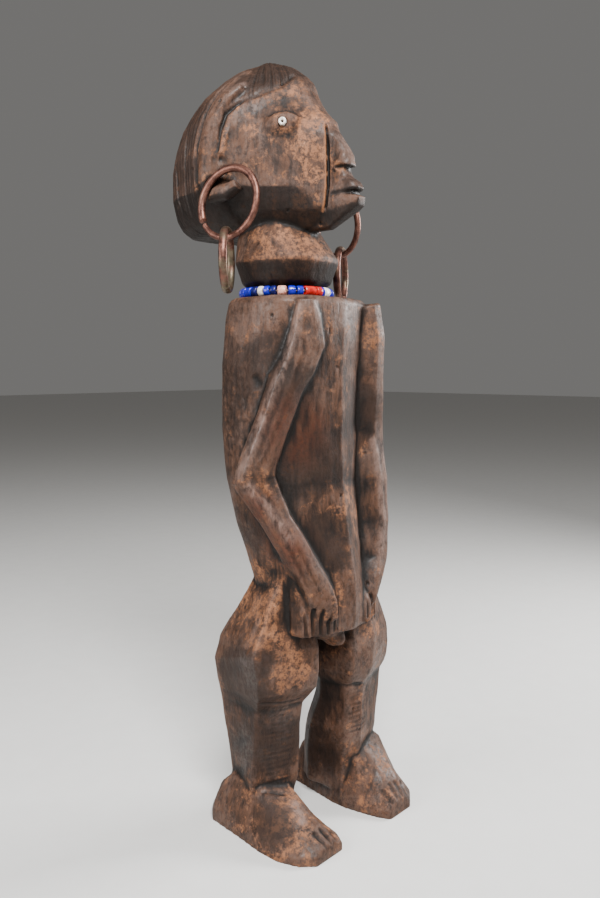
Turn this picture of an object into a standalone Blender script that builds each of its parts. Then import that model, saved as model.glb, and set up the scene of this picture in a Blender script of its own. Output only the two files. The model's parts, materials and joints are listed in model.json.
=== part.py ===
"""A carved wooden yanda figure with ear rings, bead eyes and a bead necklace.

The figure is one block of wood. It stands on its two soles, faces -Y and has +Z up, in metres.
The carving is drawn in units of one part in 386 of the height.
"""
import math

import bmesh
import bpy
from mathutils import Matrix, Vector

# Driving sizes, in metres
FIGURE_HEIGHT = 0.386
EAR_RING_DIAMETER = 0.0330
EAR_RING_WIRE = 0.0040
EAR_RING_THIN_END = 0.0026
EAR_RING_JOINT = 5.0
PENDANT_DIAMETER = 0.0284
PENDANT_BAND = 0.0046
PENDANT_THICKNESS = 0.0028
PENDANT_JOINT = 3.0
BEAD_DIAMETER = 0.0051
BEAD_BORE = 0.0017
THREAD_DIAMETER = 0.0009
EYE_BEAD_DIAMETER = 0.0042
EYE_BEAD_BORE = 0.0015
EYE_BEAD_THICKNESS = 0.0022
CLEARANCE = 0.0003
RING_HOLE_PLAY = 0.0008

# How finely the solids are made
DRAWN_HEIGHT = 386.0
OUTLINE_STEPS = 14
LIMB_SIDES = 12
VOXEL = 0.8
SMOOTHING_PASSES = 3
FIGURE_TRIANGLES = 5400
RING_STEPS = 24
WIRE_SIDES = 6
BEAD_SIDES = 7

UNIT = FIGURE_HEIGHT / DRAWN_HEIGHT
RIGHT, LEFT = -1, 1

# Head, in drawn units: height, front of the cheeks, half width, where it is widest, back
SKULL_ROWS = (
    (302.5, -4.0, 24.0, 38.0, 71.0),
    (306.0, -10.0, 29.0, 37.0, 74.0),
    (310.5, -17.0, 32.5, 32.0, 76.5),
    (315.5, -17.0, 35.0, 27.0, 77.5),
    (320.5, -17.0, 37.0, 24.0, 78.0),
    (335.0, -17.0, 37.5, 25.0, 77.0),
    (345.0, -17.0, 36.5, 25.5, 73.5),
    (352.0, -14.5, 35.0, 26.0, 69.5),
    (357.0, -9.0, 33.0, 26.0, 66.0),
    (362.0, -5.0, 30.5, 26.5, 62.0),
    (368.0, -1.5, 26.5, 27.0, 57.0),
    (375.0, 5.5, 19.5, 28.0, 49.0),
    (381.0, 13.5, 11.5, 29.0, 41.0),
    (384.0, 22.0, 4.5, 30.0, 35.0),
)
NOSE_HALF_WIDTH = 4.4
SKULL_SQUARENESS = 3.0
CHEEK_BULGE = 1.6
HAIR_RAISE = 1.7
# The hairline seen from the side, as back-to-front and height
HAIRLINE = ((25.0, 326.0), (23.5, 333.0), (21.6, 344.5), (18.4, 352.0), (15.0, 356.5),
            (10.0, 361.8), (5.0, 364.5), (-0.5, 368.0), (-4.0, 373.0), (-20.0, 378.0))
# The underside of the jaw, as a flat through three points of one half of the head
JAW_FLAT = ((37.0, 20.0, 319.5), (4.0, -17.0, 309.0), (13.0, 9.0, 300.5))

# Strip of nose, lips and chin: height, front, half width
FACE_STRIP_ROWS = (
    (301.0, -14.0, 3.0), (308.0, -29.0, 4.4), (310.0, -32.4, 4.8), (314.6, -33.0, 5.0),
    (315.6, -29.4, 4.2), (317.0, -29.4, 4.2), (318.0, -32.6, 5.0), (321.4, -30.6, 4.6),
    (324.6, -25.6, 4.2), (327.2, -24.6, 4.0), (328.4, -27.6, 4.6), (331.0, -27.2, 4.4),
    (337.0, -24.8, 4.0), (345.0, -19.2, 3.6), (351.0, -14.2, 3.2), (357.0, -8.4, 2.6),
)
FACE_STRIP_BACK = 4.0
CHEEK_CUT_WIDTH = 1.2
CHEEK_CUT_DEPTH = 6.0
CHEEK_CUT_TOP = 351.0

EYE = Vector((19.8, -0.4, 350.0))
EYE_SOCKET_RADII = Vector((12.0, 3.6, 8.6))
EYE_MOUND_RADII = Vector((8.2, 2.4, 5.4))
EYE_DEPTH = 1.5
EYE_TILT = 8.0

# Ear, as a path along the side of the head, and the ring that hangs in its lobe
EAR_PATH = ((26.0, 20.5, 369.0), (31.5, 25.0, 363.0), (35.6, 29.2, 353.5), (38.0, 31.0, 339.0),
            (38.4, 31.3, 323.4), (38.2, 27.5, 317.0), (38.0, 19.0, 317.6), (37.0, 12.0, 320.5))
EAR_WIDTHS = (4.0, 7.0, 8.6, 9.0, 9.0, 8.6, 8.0, 6.0)
EAR_HEIGHT = 8.6
CONCHA = Vector((37.5, 16.5, 328.0))
CONCHA_RADII = Vector((6.0, 8.0, 5.0))
RING_HOLE = Vector((39.4, 20.0, 328.0))
RING_YAW = 8.0
RING_LEAN = 8.0
RING_SETBACK = {RIGHT: 5.0, LEFT: 3.0}
PENDANT_SETBACK = {RIGHT: 2.0, LEFT: 4.0}
EAR_RING_JOINT_AT = 150.0
PENDANT_JOINT_AT = 60.0
PENDANT_YAW = {RIGHT: 51.0, LEFT: 120.0}

# Neck: height, radius and centre front to back
NECK_ROWS = ((262.0, 18.4, 15.7), (268.6, 18.4, 15.7), (274.2, 18.6, 15.7), (276.6, 22.0, 15.6),
             (286.5, 25.4, 15.3), (288.5, 25.4, 15.4), (297.5, 22.4, 18.4), (304.0, 19.4, 20.2),
             (308.0, 18.0, 21.0))

# Torso: height, half width, front, widest place, back, squareness, fall of the front to each side
TORSO_ROWS = (
    (105.0, 27.6, -30.5, -6.0, 10.0, 3.8, 8.0),
    (112.0, 27.8, -31.0, -6.0, 14.0, 3.8, 9.0),
    (120.0, 28.2, -31.0, -4.0, 19.0, 3.4, 11.0),
    (128.5, 29.0, -30.5, -1.0, 22.0, 3.0, 12.0),
    (140.0, 30.5, -28.5, 1.0, 27.0, 2.8, 12.0),
    (156.0, 33.0, -25.5, 3.0, 34.0, 2.7, 12.0),
    (178.0, 35.5, -22.5, 5.0, 41.0, 2.6, 12.0),
    (205.0, 37.0, -21.5, 6.0, 43.5, 2.6, 10.0),
    (235.0, 36.5, -22.0, 6.0, 42.5, 2.7, 7.0),
    (258.0, 35.0, -22.5, 5.0, 39.5, 2.9, 4.0),
    (266.0, 34.2, -22.5, 5.0, 37.5, 2.9, 3.0),
    (268.6, 32.5, -21.0, 5.0, 35.5, 2.8, 3.0),
)

# Arms: centre line, width and thickness, from the shoulder through the elbow to the wrist
RIGHT_ARM_ROWS = (
    (-22.8, -17.4, 266.5, 10.0, 10.0), (-22.8, -17.6, 258.0, 15.0, 11.5),
    (-23.2, -17.4, 247.0, 19.5, 12.0), (-25.8, -14.6, 236.0, 18.5, 12.0),
    (-29.8, -11.0, 226.0, 17.5, 12.0), (-33.8, -6.0, 207.0, 17.0, 12.0),
    (-37.6, -0.8, 190.0, 18.5, 12.5), (-38.8, 1.6, 181.0, 22.0, 13.0),
    (-34.8, -2.8, 171.0, 18.0, 12.0),
    (-31.4, -7.6, 160.0, 15.0, 12.0), (-26.0, -15.2, 145.0, 14.5, 12.0),
    (-21.6, -22.0, 130.0, 15.5, 11.0), (-19.8, -24.2, 121.0, 17.5, 8.0),
    (-19.2, -24.2, 113.0, 18.5, 3.0),
)
LEFT_ARM_ROWS = (
    (26.0, -16.5, 266.5, 15.0, 14.0), (29.0, -16.5, 250.0, 18.0, 15.0),
    (30.5, -14.0, 224.0, 18.0, 16.0), (32.4, -11.4, 203.0, 19.0, 18.5),
    (32.8, -11.2, 192.0, 19.5, 19.5), (33.8, -12.4, 176.0, 17.5, 20.5),
    (33.2, -14.6, 154.0, 16.5, 20.0), (29.8, -17.8, 134.0, 15.5, 17.0),
    (24.5, -22.6, 121.0, 15.0, 8.0), (22.0, -23.4, 113.0, 15.5, 3.0),
)
# Section of an arm as shares of half its width, outward from the body's middle, and thickness
ARM_SECTION = ((1.0, -1.0), (1.0, 0.10), (0.52, 1.0), (-0.55, 0.86), (-1.0, 0.30), (-1.0, -1.0))
# Hands: height, inner edge, outer edge, and how far forward the back of the hand would meet
# the middle of the body
HAND_ROWS = ((105.5, 11.0, 29.2, -35.6), (114.0, 11.6, 28.8, -35.2), (122.0, 15.0, 27.6, -32.0),
             (136.0, 21.0, 28.6, -25.6))
HAND_SLOPE = 0.45
HAND_THICKNESS = 9.0
FINGER_CUTS = 5
FIRST_FINGER_CUT = 13.3
FINGER_STEP = 3.65
FINGER_LENGTH = 10.5
FINGER_CUT = 1.8
FINGER_CUT_DEPTH = 2.2

# Legs: how far each is turned out, and the middle that its sections are drawn round
LEG_TURN = {RIGHT: 20.0, LEFT: 8.0}
LEG_MIDDLE = {RIGHT: (-22.0, 10.0), LEFT: (27.5, 0.0)}
# The crest down the front of a leg: how far outward, and how far before the front corners
LEG_CREST = {RIGHT: (0.0, 0.8), LEFT: (-7.5, 3.5)}
LEG_BACK_BEVEL = 7.5
LEG_EDGE_BEVEL = 1.2
# Leg sections: height, outer front corner, outer side, inner side, front, back
RIGHT_LEG_ROWS = (
    (140.0, -1.0, 1.5, -12.0, -18.5, 7.0), (130.0, 3.0, 4.0, -13.0, -19.5, 12.0),
    (120.0, 7.5, 8.0, -14.5, -20.8, 15.5), (112.0, 11.0, 11.0, -16.0, -22.0, 19.0),
    (104.0, 15.0, 15.0, -17.6, -23.4, 22.0), (97.5, 18.2, 18.8, -18.4, -24.6, 23.0),
    (86.0, 16.2, 21.8, -18.6, -25.0, 23.3), (76.0, 14.8, 20.8, -18.4, -23.0, 22.8),
    (71.0, 13.2, 19.9, -16.8, -19.0, 22.3), (66.0, 12.0, 19.1, -15.0, -15.2, 21.8),
    (54.0, 11.9, 17.9, -14.4, -13.4, 20.5), (38.0, 12.8, 15.9, -14.4, -12.2, 19.2),
    (26.0, 13.6, 14.6, -14.0, -12.2, 18.8), (17.0, 12.4, 14.0, -12.0, -10.0, 19.0),
    (8.0, 12.0, 14.0, -12.0, -10.0, 19.0),
)
LEFT_LEG_ROWS = (
    (140.0, 0.0, 3.0, -12.0, -12.0, 8.0), (128.0, 3.0, 6.5, -13.5, -16.0, 11.0),
    (120.0, 6.0, 10.5, -16.0, -18.5, 13.0), (112.0, 9.0, 14.5, -19.0, -20.5, 14.5),
    (103.0, 11.5, 18.0, -21.5, -22.5, 15.5), (96.0, 13.0, 19.5, -23.0, -24.0, 16.0),
    (86.0, 14.4, 20.0, -23.2, -24.0, 15.5), (78.0, 15.4, 19.5, -22.3, -22.8, 13.0),
    (73.0, 16.0, 19.0, -20.3, -20.6, 11.0), (69.0, 16.6, 18.6, -18.4, -18.2, 10.0),
    (60.0, 16.8, 18.0, -17.6, -17.4, 11.0), (44.0, 15.4, 17.0, -17.0, -16.8, 16.5),
    (36.0, 14.8, 16.2, -16.4, -16.4, 18.5), (28.0, 12.0, 15.0, -15.4, -14.4, 20.0),
    (8.0, 12.0, 15.0, -14.0, -13.0, 21.0),
)

# Feet: front to back, centre across, half width, height, share of the width that is flat on top
RIGHT_FOOT_ROWS = (
    (35.0, -33.0, 4.5, 9.0, 0.3), (31.0, -31.5, 9.5, 19.0, 0.3), (22.0, -28.5, 13.5, 27.0, 0.5),
    (4.0, -27.0, 17.0, 27.0, 0.6), (-8.0, -27.6, 18.0, 21.5, 0.45), (-20.0, -28.0, 17.4, 16.0, 0.3),
    (-30.0, -27.0, 14.8, 11.0, 0.3), (-36.8, -26.0, 9.5, 7.0, 0.4),
)
LEFT_FOOT_ROWS = (
    (33.0, 27.5, 4.5, 9.0, 0.3), (28.0, 28.0, 9.5, 20.0, 0.3), (18.0, 31.0, 13.5, 32.0, 0.5),
    (-4.0, 31.5, 17.5, 36.0, 0.9), (-13.0, 32.2, 18.2, 32.0, 0.7), (-24.0, 33.6, 17.6, 20.5, 0.3),
    (-32.0, 33.0, 15.0, 13.0, 0.3), (-38.4, 30.0, 9.0, 8.0, 0.4),
)
SOLE_DROP = 4.0
FOOT_RIM = 5.0
FOOT_ROOF = 0.85
FOOT_SQUARENESS = 3.4
TOES = 5
TOE_LENGTH = 12.0
TOE_CUT = 2.2
TOE_CUT_DEPTH = 2.4
LOWER_BELLY = ((0.0, -8.0, 104.0), (14.0, 14.0, 7.5))
LOWER_KNOB = ((1.0, -15.5, 98.0), (4.6, 7.5, 4.6))

WOOD_COLOUR = (0.085, 0.048, 0.030, 1.0)
COPPER_COLOUR = (0.300, 0.140, 0.090, 1.0)
BRASS_COLOUR = (0.250, 0.180, 0.090, 1.0)
THREAD_COLOUR = (0.120, 0.090, 0.060, 1.0)
BEAD_COLOURS = {
    "blue": (0.012, 0.020, 0.400, 1.0),
    "navy": (0.010, 0.014, 0.090, 1.0),
    "white": (0.780, 0.700, 0.620, 1.0),
    "pink": (0.640, 0.280, 0.210, 1.0),
    "red": (0.480, 0.012, 0.010, 1.0),
}
# The beads round the neck, from the figure's right to its left, as colour and share of the circle
BEAD_ORDER = (
    ("blue", 13.0), ("blue", 13.0), ("blue", 13.0), ("navy", 9.9), ("white", 8.6),
    ("blue", 9.0), ("navy", 8.4), ("pink", 13.3), ("blue", 11.0), ("blue", 9.7),
    ("red", 17.2), ("red", 10.8), ("blue", 4.4), ("white", 13.7), ("blue", 12.0),
)
BEAD_COUNT = 32
FIRST_BEAD_ANGLE = -46.0
BEAD_GAP = 0.0002


def clear_scene():
    """Remove what the opened file holds."""
    for old in list(bpy.data.objects):
        bpy.data.objects.remove(old)


def collection_named(name):
    """Make a collection in the scene."""
    made = bpy.data.collections.new(name)
    bpy.context.scene.collection.children.link(made)
    return made


def material_named(name, colour, roughness, metallic=0.0):
    """Make a plain Principled material."""
    made = bpy.data.materials.new(name)
    made.use_nodes = True
    shader = made.node_tree.nodes["Principled BSDF"]
    shader.inputs["Base Color"].default_value = colour
    shader.inputs["Roughness"].default_value = roughness
    shader.inputs["Metallic"].default_value = metallic
    return made


def mesh_of(bm, name):
    """Turn a finished bmesh into a mesh with its faces pointing out."""
    bmesh.ops.recalc_face_normals(bm, faces=bm.faces)
    mesh = bpy.data.meshes.new(name)
    bm.to_mesh(mesh)
    bm.free()
    return mesh


def add_object(name, mesh, material, collection):
    """Put a mesh in the scene as a named object."""
    obj = bpy.data.objects.new(name, mesh)
    obj.data.materials.append(material)
    collection.objects.link(obj)
    return obj


def drawn(*point):
    """Turn a point in drawn units into metres."""
    return Vector(point) * UNIT


def loft(sections):
    """Skin a closed solid through rings of points that have the same count."""
    bm = bmesh.new()
    rings = [[bm.verts.new(p) for p in section] for section in sections]
    count = len(rings[0])
    for low, high in zip(rings, rings[1:]):
        for i in range(count):
            j = (i + 1) % count
            bm.faces.new((low[i], low[j], high[j], high[i]))
    bm.faces.new(list(reversed(rings[0])))
    bm.faces.new(rings[-1])
    return mesh_of(bm, "loft")


def power(value, exponent):
    """Raise to a power and keep the sign."""
    return math.copysign(abs(value) ** exponent, value)


def super_oval(half_a, half_b, squareness, steps):
    """Points round an oval whose corners get squarer as squareness grows."""
    share = 2.0 / squareness
    turns = [2 * math.pi * i / steps for i in range(steps)]
    return [(half_a * power(math.cos(t), share), half_b * power(math.sin(t), share)) for t in turns]


def mirrored(half):
    """Close a half outline, listed from the front to the back at +X, with its mirror image."""
    return half + [(-x, y) for x, y in reversed(half[1:-1])]


def skull_outline(front, half_width, widest, back, grow=0.0):
    """A wedge of flat cheeks at the front and a broad round back."""
    steps = OUTLINE_STEPS
    half = [(0.0, front - grow)]
    for i in range(steps + 1):
        share = i / steps
        across = NOSE_HALF_WIDTH + (half_width - NOSE_HALF_WIDTH) * share
        bulge = CHEEK_BULGE * math.sin(math.pi * share)
        half.append((across + (bulge + grow) * 0.7, front + (widest - front) * share - (bulge + grow) * 0.7))
    power_share = 2.0 / SKULL_SQUARENESS
    for i in range(1, steps + 1):
        turn = math.pi / 2 * i / steps
        half.append(((half_width + grow) * power(math.cos(turn), power_share),
                     widest + (back + grow - widest) * power(math.sin(turn), power_share)))
    half[-1] = (0.0, back + grow)
    return mirrored(half)


def skull_mesh(grow=0.0):
    """The head, or with grow the block that the hair is cut from."""
    sections = []
    for height, front, half_width, widest, back in SKULL_ROWS:
        lift = grow * (1.0 if height > EYE.z else 0.0)
        outline = skull_outline(front, half_width, widest, back, grow)
        sections.append([drawn(x, y, height + lift) for x, y in outline])
    return loft(sections)


def jaw_cut(mesh):
    """Slice off the underside of the jaw on both sides, rising from the chin to the ears."""
    bm = bmesh.new()
    bm.from_mesh(mesh)
    for side in (RIGHT, LEFT):
        ear, chin, throat = (drawn(side * x, y, z) for x, y, z in JAW_FLAT)
        normal = (chin - ear).cross(throat - ear)
        normal *= math.copysign(1.0, -normal.z)
        geometry = bm.verts[:] + bm.edges[:] + bm.faces[:]
        cut = bmesh.ops.bisect_plane(bm, geom=geometry, plane_co=ear, plane_no=normal,
                                     clear_outer=True)
        rim = [e for e in cut["geom_cut"] if isinstance(e, bmesh.types.BMEdge)]
        bmesh.ops.holes_fill(bm, edges=rim, sides=0)
    return mesh_of(bm, "jaw")


def hairline_cutter():
    """A slab in front of the hairline, as wide as the head."""
    reach = 60.0
    low = HAIRLINE[0][1] - reach
    outline = list(HAIRLINE) + [(-reach, HAIRLINE[-1][1]), (-reach, low), (HAIRLINE[0][0], low)]
    return loft([[drawn(side * reach, y, z) for y, z in outline] for side in (RIGHT, LEFT)])


def ellipsoid(centre, radii, turn=None, segments=20, rings=12):
    """A ball stretched to three radii, turned and placed."""
    bm = bmesh.new()
    bmesh.ops.create_uvsphere(bm, u_segments=segments, v_segments=rings, radius=1.0)
    stretch = Matrix.Diagonal((*radii, 1.0))
    place = Matrix.Translation(centre) @ (turn or Matrix()) @ stretch
    bmesh.ops.transform(bm, matrix=place, verts=bm.verts)
    return mesh_of(bm, "ellipsoid")


def block(low, high, turn=None):
    """A box between two corners, turned about its own centre."""
    bm = bmesh.new()
    bmesh.ops.create_cube(bm, size=1.0)
    size = high - low
    stretch = Matrix.Diagonal((*size, 1.0))
    bmesh.ops.transform(bm, matrix=(turn or Matrix()) @ stretch, verts=bm.verts)
    bmesh.ops.translate(bm, vec=(low + high) / 2, verts=bm.verts)
    return mesh_of(bm, "block")


def cheek_normal(side):
    """The way the flat of a cheek faces."""
    _, front, half_width, widest, _ = SKULL_ROWS[5]
    along = Vector((half_width - NOSE_HALF_WIDTH, widest - front, 0.0)).normalized()
    return Vector((side * along.y, -along.x, 0.0))


def cheek_turn(side):
    """Turn a shape drawn facing -Y to lie on a cheek, tilted as the eye is."""
    normal = cheek_normal(side)
    yaw = math.atan2(normal.x, -normal.y)
    return Matrix.Rotation(yaw, 4, "Z") @ Matrix.Rotation(math.radians(side * EYE_TILT), 4, "Y")


def eye_place(side):
    """Centre of an eye on the surface of the cheek."""
    return drawn(side * EYE.x, EYE.y, EYE.z)


def face_strip_mesh():
    """Nose, lips and chin as one upright strip at the front of the wedge."""
    sections = []
    for height, front, half in FACE_STRIP_ROWS:
        bevel = half * 0.45
        outline = [(-half, FACE_STRIP_BACK), (half, FACE_STRIP_BACK), (half, front + bevel),
                   (half - bevel, front), (-half + bevel, front), (-half, front + bevel)]
        sections.append([drawn(x, y, height) for x, y in outline])
    return loft(sections)


def cheek_cut(side):
    """The deep upright cut between a cheek and the strip of the nose."""
    front = SKULL_ROWS[5][1]
    inner = NOSE_HALF_WIDTH + 0.2
    low = drawn(min(side * inner, side * (inner + CHEEK_CUT_WIDTH)), front - 5.0, 300.0)
    high = drawn(max(side * inner, side * (inner + CHEEK_CUT_WIDTH)),
                 front + CHEEK_CUT_DEPTH, CHEEK_CUT_TOP)
    return block(low, high)


def path_frames(points, outward):
    """Directions along, across and out from the body at each point of a path."""
    frames = []
    for i, here in enumerate(points):
        before, after = points[max(i - 1, 0)], points[min(i + 1, len(points) - 1)]
        along = (after - before).normalized()
        across = along.cross(outward).normalized()
        frames.append((along, across, across.cross(along).normalized()))
    return frames


def arm_mesh(side):
    """Upper arm and forearm, bent at the elbow, with a crest along the outer edge."""
    rows = RIGHT_ARM_ROWS if side == RIGHT else LEFT_ARM_ROWS
    points = [drawn(*row[:3]) for row in rows]
    frames = path_frames(points, Vector((side * 0.75, -0.65, 0.0)))
    sections = []
    for point, (_, _, _, width, thickness), (_, across, out) in zip(points, rows, frames):
        sections.append([point + across * a * -side * width / 2 * UNIT + out * b * thickness / 2 * UNIT
                         for a, b in ARM_SECTION])
    return loft(sections)


def groove_cutter(start, end, outward, width, depth):
    """A bar that cuts a groove between two points of a surface that faces outward."""
    along = (end - start).normalized()
    across = along.cross(outward).normalized()
    up = across.cross(along).normalized()
    tall = depth * 4
    bm = bmesh.new()
    bmesh.ops.create_cube(bm, size=1.0)
    stretch = Matrix.Diagonal((width, (end - start).length, tall, 1.0))
    turn = Matrix((across, along, up)).transposed().to_4x4()
    middle = (start + end) / 2 + up * (tall / 2 - depth)
    bmesh.ops.transform(bm, matrix=Matrix.Translation(middle) @ turn @ stretch, verts=bm.verts)
    return mesh_of(bm, "groove")


def hand_mesh(side):
    """A flat hand on the belly, its fingers pointing down and its wrist under the forearm."""
    sections = []
    for height, inner, outer, front in HAND_ROWS:
        edge = [(side * across, front + HAND_SLOPE * across) for across in (inner, outer)]
        outline = edge + [(x, y + HAND_THICKNESS) for x, y in reversed(edge)]
        sections.append([drawn(x, y, height) for x, y in outline])
    return loft(sections)


def finger_cuts(side):
    """The cuts that part the fingers."""
    low, _, _, front = HAND_ROWS[0]
    cuts = []
    for i in range(FINGER_CUTS):
        across = FIRST_FINGER_CUT + FINGER_STEP * i
        start = drawn(side * across, front + HAND_SLOPE * across, low + FINGER_LENGTH)
        end = drawn(side * across, front + HAND_SLOPE * across, low - FINGER_CUT_DEPTH)
        cuts.append(groove_cutter(start, end, Vector((side * HAND_SLOPE, -1.0, 0.0)),
                                  FINGER_CUT * UNIT, FINGER_CUT_DEPTH * UNIT))
    return cuts


def torso_outline(half_width, front, widest, back, squareness, keel):
    """A body section with a ridge down the middle of its front."""
    outline = []
    for x, y in super_oval(1.0, 1.0, squareness, OUTLINE_STEPS * 4):
        reach = back - widest if y > 0 else widest - front
        fall = keel * abs(x) if y < 0 else 0.0
        outline.append((x * half_width, widest + y * reach + fall * abs(y)))
    return outline


def torso_mesh():
    """Chest, belly and back down to the cut edge over the legs."""
    sections = []
    for height, half_width, front, widest, back, squareness, keel in TORSO_ROWS:
        outline = torso_outline(half_width, front, widest, back, squareness, keel)
        sections.append([drawn(x, y, height) for x, y in outline])
    return loft(sections)


def neck_mesh():
    """A neck with a raised ridge round it."""
    sections = []
    for height, radius, centre in NECK_ROWS:
        ring = super_oval(radius, radius, 2.2, OUTLINE_STEPS * 3)
        sections.append([drawn(x, y + centre, height) for x, y in ring])
    return loft(sections)


def leg_outline(side, outer, reach, inner, front, back):
    """Corners of a leg section, as outward and backward distances from its middle."""
    crest, rise = LEG_CREST[side]
    corner = front + rise
    return [(crest, front), (outer, corner), (reach, back - LEG_BACK_BEVEL),
            (reach - LEG_BACK_BEVEL, back), (inner + LEG_BACK_BEVEL, back),
            (inner, back - LEG_BACK_BEVEL), (inner, corner + LEG_EDGE_BEVEL),
            (inner + LEG_EDGE_BEVEL, corner)]


def leg_mesh(side):
    """Hip, knee and shin as flat facets that meet in crests."""
    turn = math.radians(LEG_TURN[side])
    outward = Vector((side * math.cos(turn), math.sin(turn)))
    backward = Vector((-side * math.sin(turn), math.cos(turn)))
    middle = Vector(LEG_MIDDLE[side])
    sections = []
    for height, *sizes in RIGHT_LEG_ROWS if side == RIGHT else LEFT_LEG_ROWS:
        corners = [middle + outward * a + backward * b for a, b in leg_outline(side, *sizes)]
        sections.append([drawn(x, y, height) for x, y in corners])
    return loft(sections)


def foot_rows(side):
    """The sections of a foot."""
    return RIGHT_FOOT_ROWS if side == RIGHT else LEFT_FOOT_ROWS


def foot_top(height, flat, share):
    """Height of a foot's top at a share of its half width."""
    rim = min(FOOT_RIM, height)
    slope = min(1.0, (1 - abs(share)) / (1 - flat))
    return rim + (height - rim) * slope ** FOOT_ROOF


def foot_mesh(side):
    """A wedge of a foot, left long below so that the sole can be cut flat."""
    sections = []
    for y, x, half_width, height, flat in foot_rows(side):
        sections.append([
            drawn(x + a * half_width, y, foot_top(height, flat, a) * b ** 0.5 if b > 0 else b * SOLE_DROP)
            for a, b in super_oval(1.0, 1.0, FOOT_SQUARENESS, OUTLINE_STEPS * 4)
        ])
    return loft(sections)


def toe_cuts(side):
    """The shallow grooves that part the toes."""
    ball_y, ball_x, ball_half, ball_height, ball_flat = foot_rows(side)[-3]
    tip_y, tip_x, tip_half, tip_height, tip_flat = foot_rows(side)[-1]
    cuts = []
    for i in range(1, TOES):
        share = (2 * i / TOES - 1) * 0.86
        tip_top = foot_top(tip_height, tip_flat, share)
        ball_top = foot_top(ball_height, ball_flat, share)
        tip = drawn(tip_x + share * tip_half * 1.2, tip_y - TOE_CUT_DEPTH, tip_top)
        ball = drawn(ball_x + share * ball_half, ball_y, ball_top)
        start = tip + (ball - tip).normalized() * TOE_LENGTH * UNIT
        cuts.append(groove_cutter(start, tip, Vector((0.0, 0.0, 1.0)),
                                  TOE_CUT * UNIT, TOE_CUT_DEPTH * UNIT))
    return cuts


def ear_mesh(side):
    """A raised ear that hooks forward into its lobe."""
    points = [drawn(side * x, y, z) for x, y, z in EAR_PATH]
    outward = Vector((side, 0.0, 0.0))
    sections = []
    for point, width, (_, across, out) in zip(points, EAR_WIDTHS, path_frames(points, outward)):
        height = min(width, EAR_HEIGHT)
        oval = super_oval(width / 2 * UNIT, height / 2 * UNIT, 2.6, LIMB_SIDES)
        sections.append([point + across * a + out * b for a, b in oval])
    return loft(sections)


def ring_frame(side):
    """Centre of an ear ring, the way it runs through the lobe, and the way down to its foot."""
    hole = drawn(side * RING_HOLE.x, RING_HOLE.y, RING_HOLE.z)
    yaw = math.radians(RING_YAW)
    along = Vector((-side * math.sin(yaw), -math.cos(yaw), 0.0))
    lean = math.radians(RING_LEAN)
    outward = Vector((side * math.cos(yaw), -math.sin(yaw), 0.0))
    down = Vector((0.0, 0.0, -math.cos(lean))) + outward * math.sin(lean)
    centre = hole + down * EAR_RING_DIAMETER / 2 + along * RING_SETBACK[side] * UNIT
    return centre, along, down.normalized()


def ring_matrix(centre, along, down):
    """Place for a ring drawn about Z, with X along and Y down."""
    normal = along.cross(down).normalized()
    turn = Matrix((along, down, normal)).transposed().to_4x4()
    return Matrix.Translation(centre) @ turn


def bent_rod(major, thick, thin, band, joint, start):
    """A rod bent round Z from a thick end to a thin one, its ends a few degrees apart.

    The rod is band wide along Z, or as thick as it is round if band is None.
    """
    sections = []
    for i in range(RING_STEPS + 1):
        share = i / RING_STEPS
        angle = math.radians(start + joint / 2 + (360.0 - joint) * share)
        half = (thick + (thin - thick) * share ** 2) / 2
        rise = (band or 2 * half) / 2
        out = Vector((math.cos(angle), math.sin(angle), 0.0))
        sections.append([out * (major + half * a) + Vector((0.0, 0.0, rise * b))
                         for a, b in super_oval(1.0, 1.0, 2.4, WIRE_SIDES)])
    bm = bmesh.new()
    bm.from_mesh(loft(sections))
    return bm


def torus(major, minor, steps, sides):
    """A ring of round wire about Z."""
    bm = bmesh.new()
    circle = [bm.verts.new((major + minor * math.cos(2 * math.pi * i / sides), 0.0,
                            minor * math.sin(2 * math.pi * i / sides))) for i in range(sides)]
    edges = [bm.edges.new((circle[i], circle[(i + 1) % sides])) for i in range(sides)]
    bmesh.ops.spin(bm, geom=circle + edges, cent=(0, 0, 0), axis=(0, 0, 1), angle=2 * math.pi,
                   steps=steps, use_merge=True)
    bmesh.ops.remove_doubles(bm, verts=bm.verts, dist=minor * 0.01)
    return bm


def placed(bm, matrix):
    """Move a bmesh to its place and make it a mesh."""
    bmesh.ops.transform(bm, matrix=matrix, verts=bm.verts)
    return mesh_of(bm, "placed")


def ring_hole_cutter(side):
    """The ring's own path, made wider, which pierces the lobe."""
    bm = torus(EAR_RING_DIAMETER / 2, EAR_RING_WIRE / 2 + RING_HOLE_PLAY, RING_STEPS, 10)
    return placed(bm, ring_matrix(*ring_frame(side)))


def pendant_frame(side):
    """A second ring that hangs on the foot of the ear ring."""
    centre, along, down = ring_frame(side)
    swing = math.radians(PENDANT_SETBACK[side])
    foot = centre + (down * math.cos(swing) + along * math.sin(swing)) * EAR_RING_DIAMETER / 2
    rise = EAR_RING_WIRE / 2 + CLEARANCE + PENDANT_THICKNESS / 2
    yaw = math.radians(PENDANT_YAW[side])
    across = Vector((side * math.sin(yaw), -math.cos(yaw), 0.0))
    straight_down = Vector((0.0, 0.0, -1.0))
    return foot + straight_down * (PENDANT_DIAMETER / 2 - rise), across, straight_down


def cut_with(target, cutters, helpers):
    """Take cutters out of an object by exact Booleans."""
    for mesh in cutters:
        cutter = bpy.data.objects.new("cutter", mesh)
        cutter.hide_render = True
        cutter.display_type = "WIRE"
        helpers.objects.link(cutter)
        cut = target.modifiers.new("Cut", "BOOLEAN")
        cut.operation = "DIFFERENCE"
        cut.solver = "EXACT"
        cut.object = cutter


def evaluated_mesh(obj):
    """The mesh of an object with its modifiers worked in."""
    graph = bpy.context.evaluated_depsgraph_get()
    graph.update()
    return bpy.data.meshes.new_from_object(obj.evaluated_get(graph))


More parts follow.
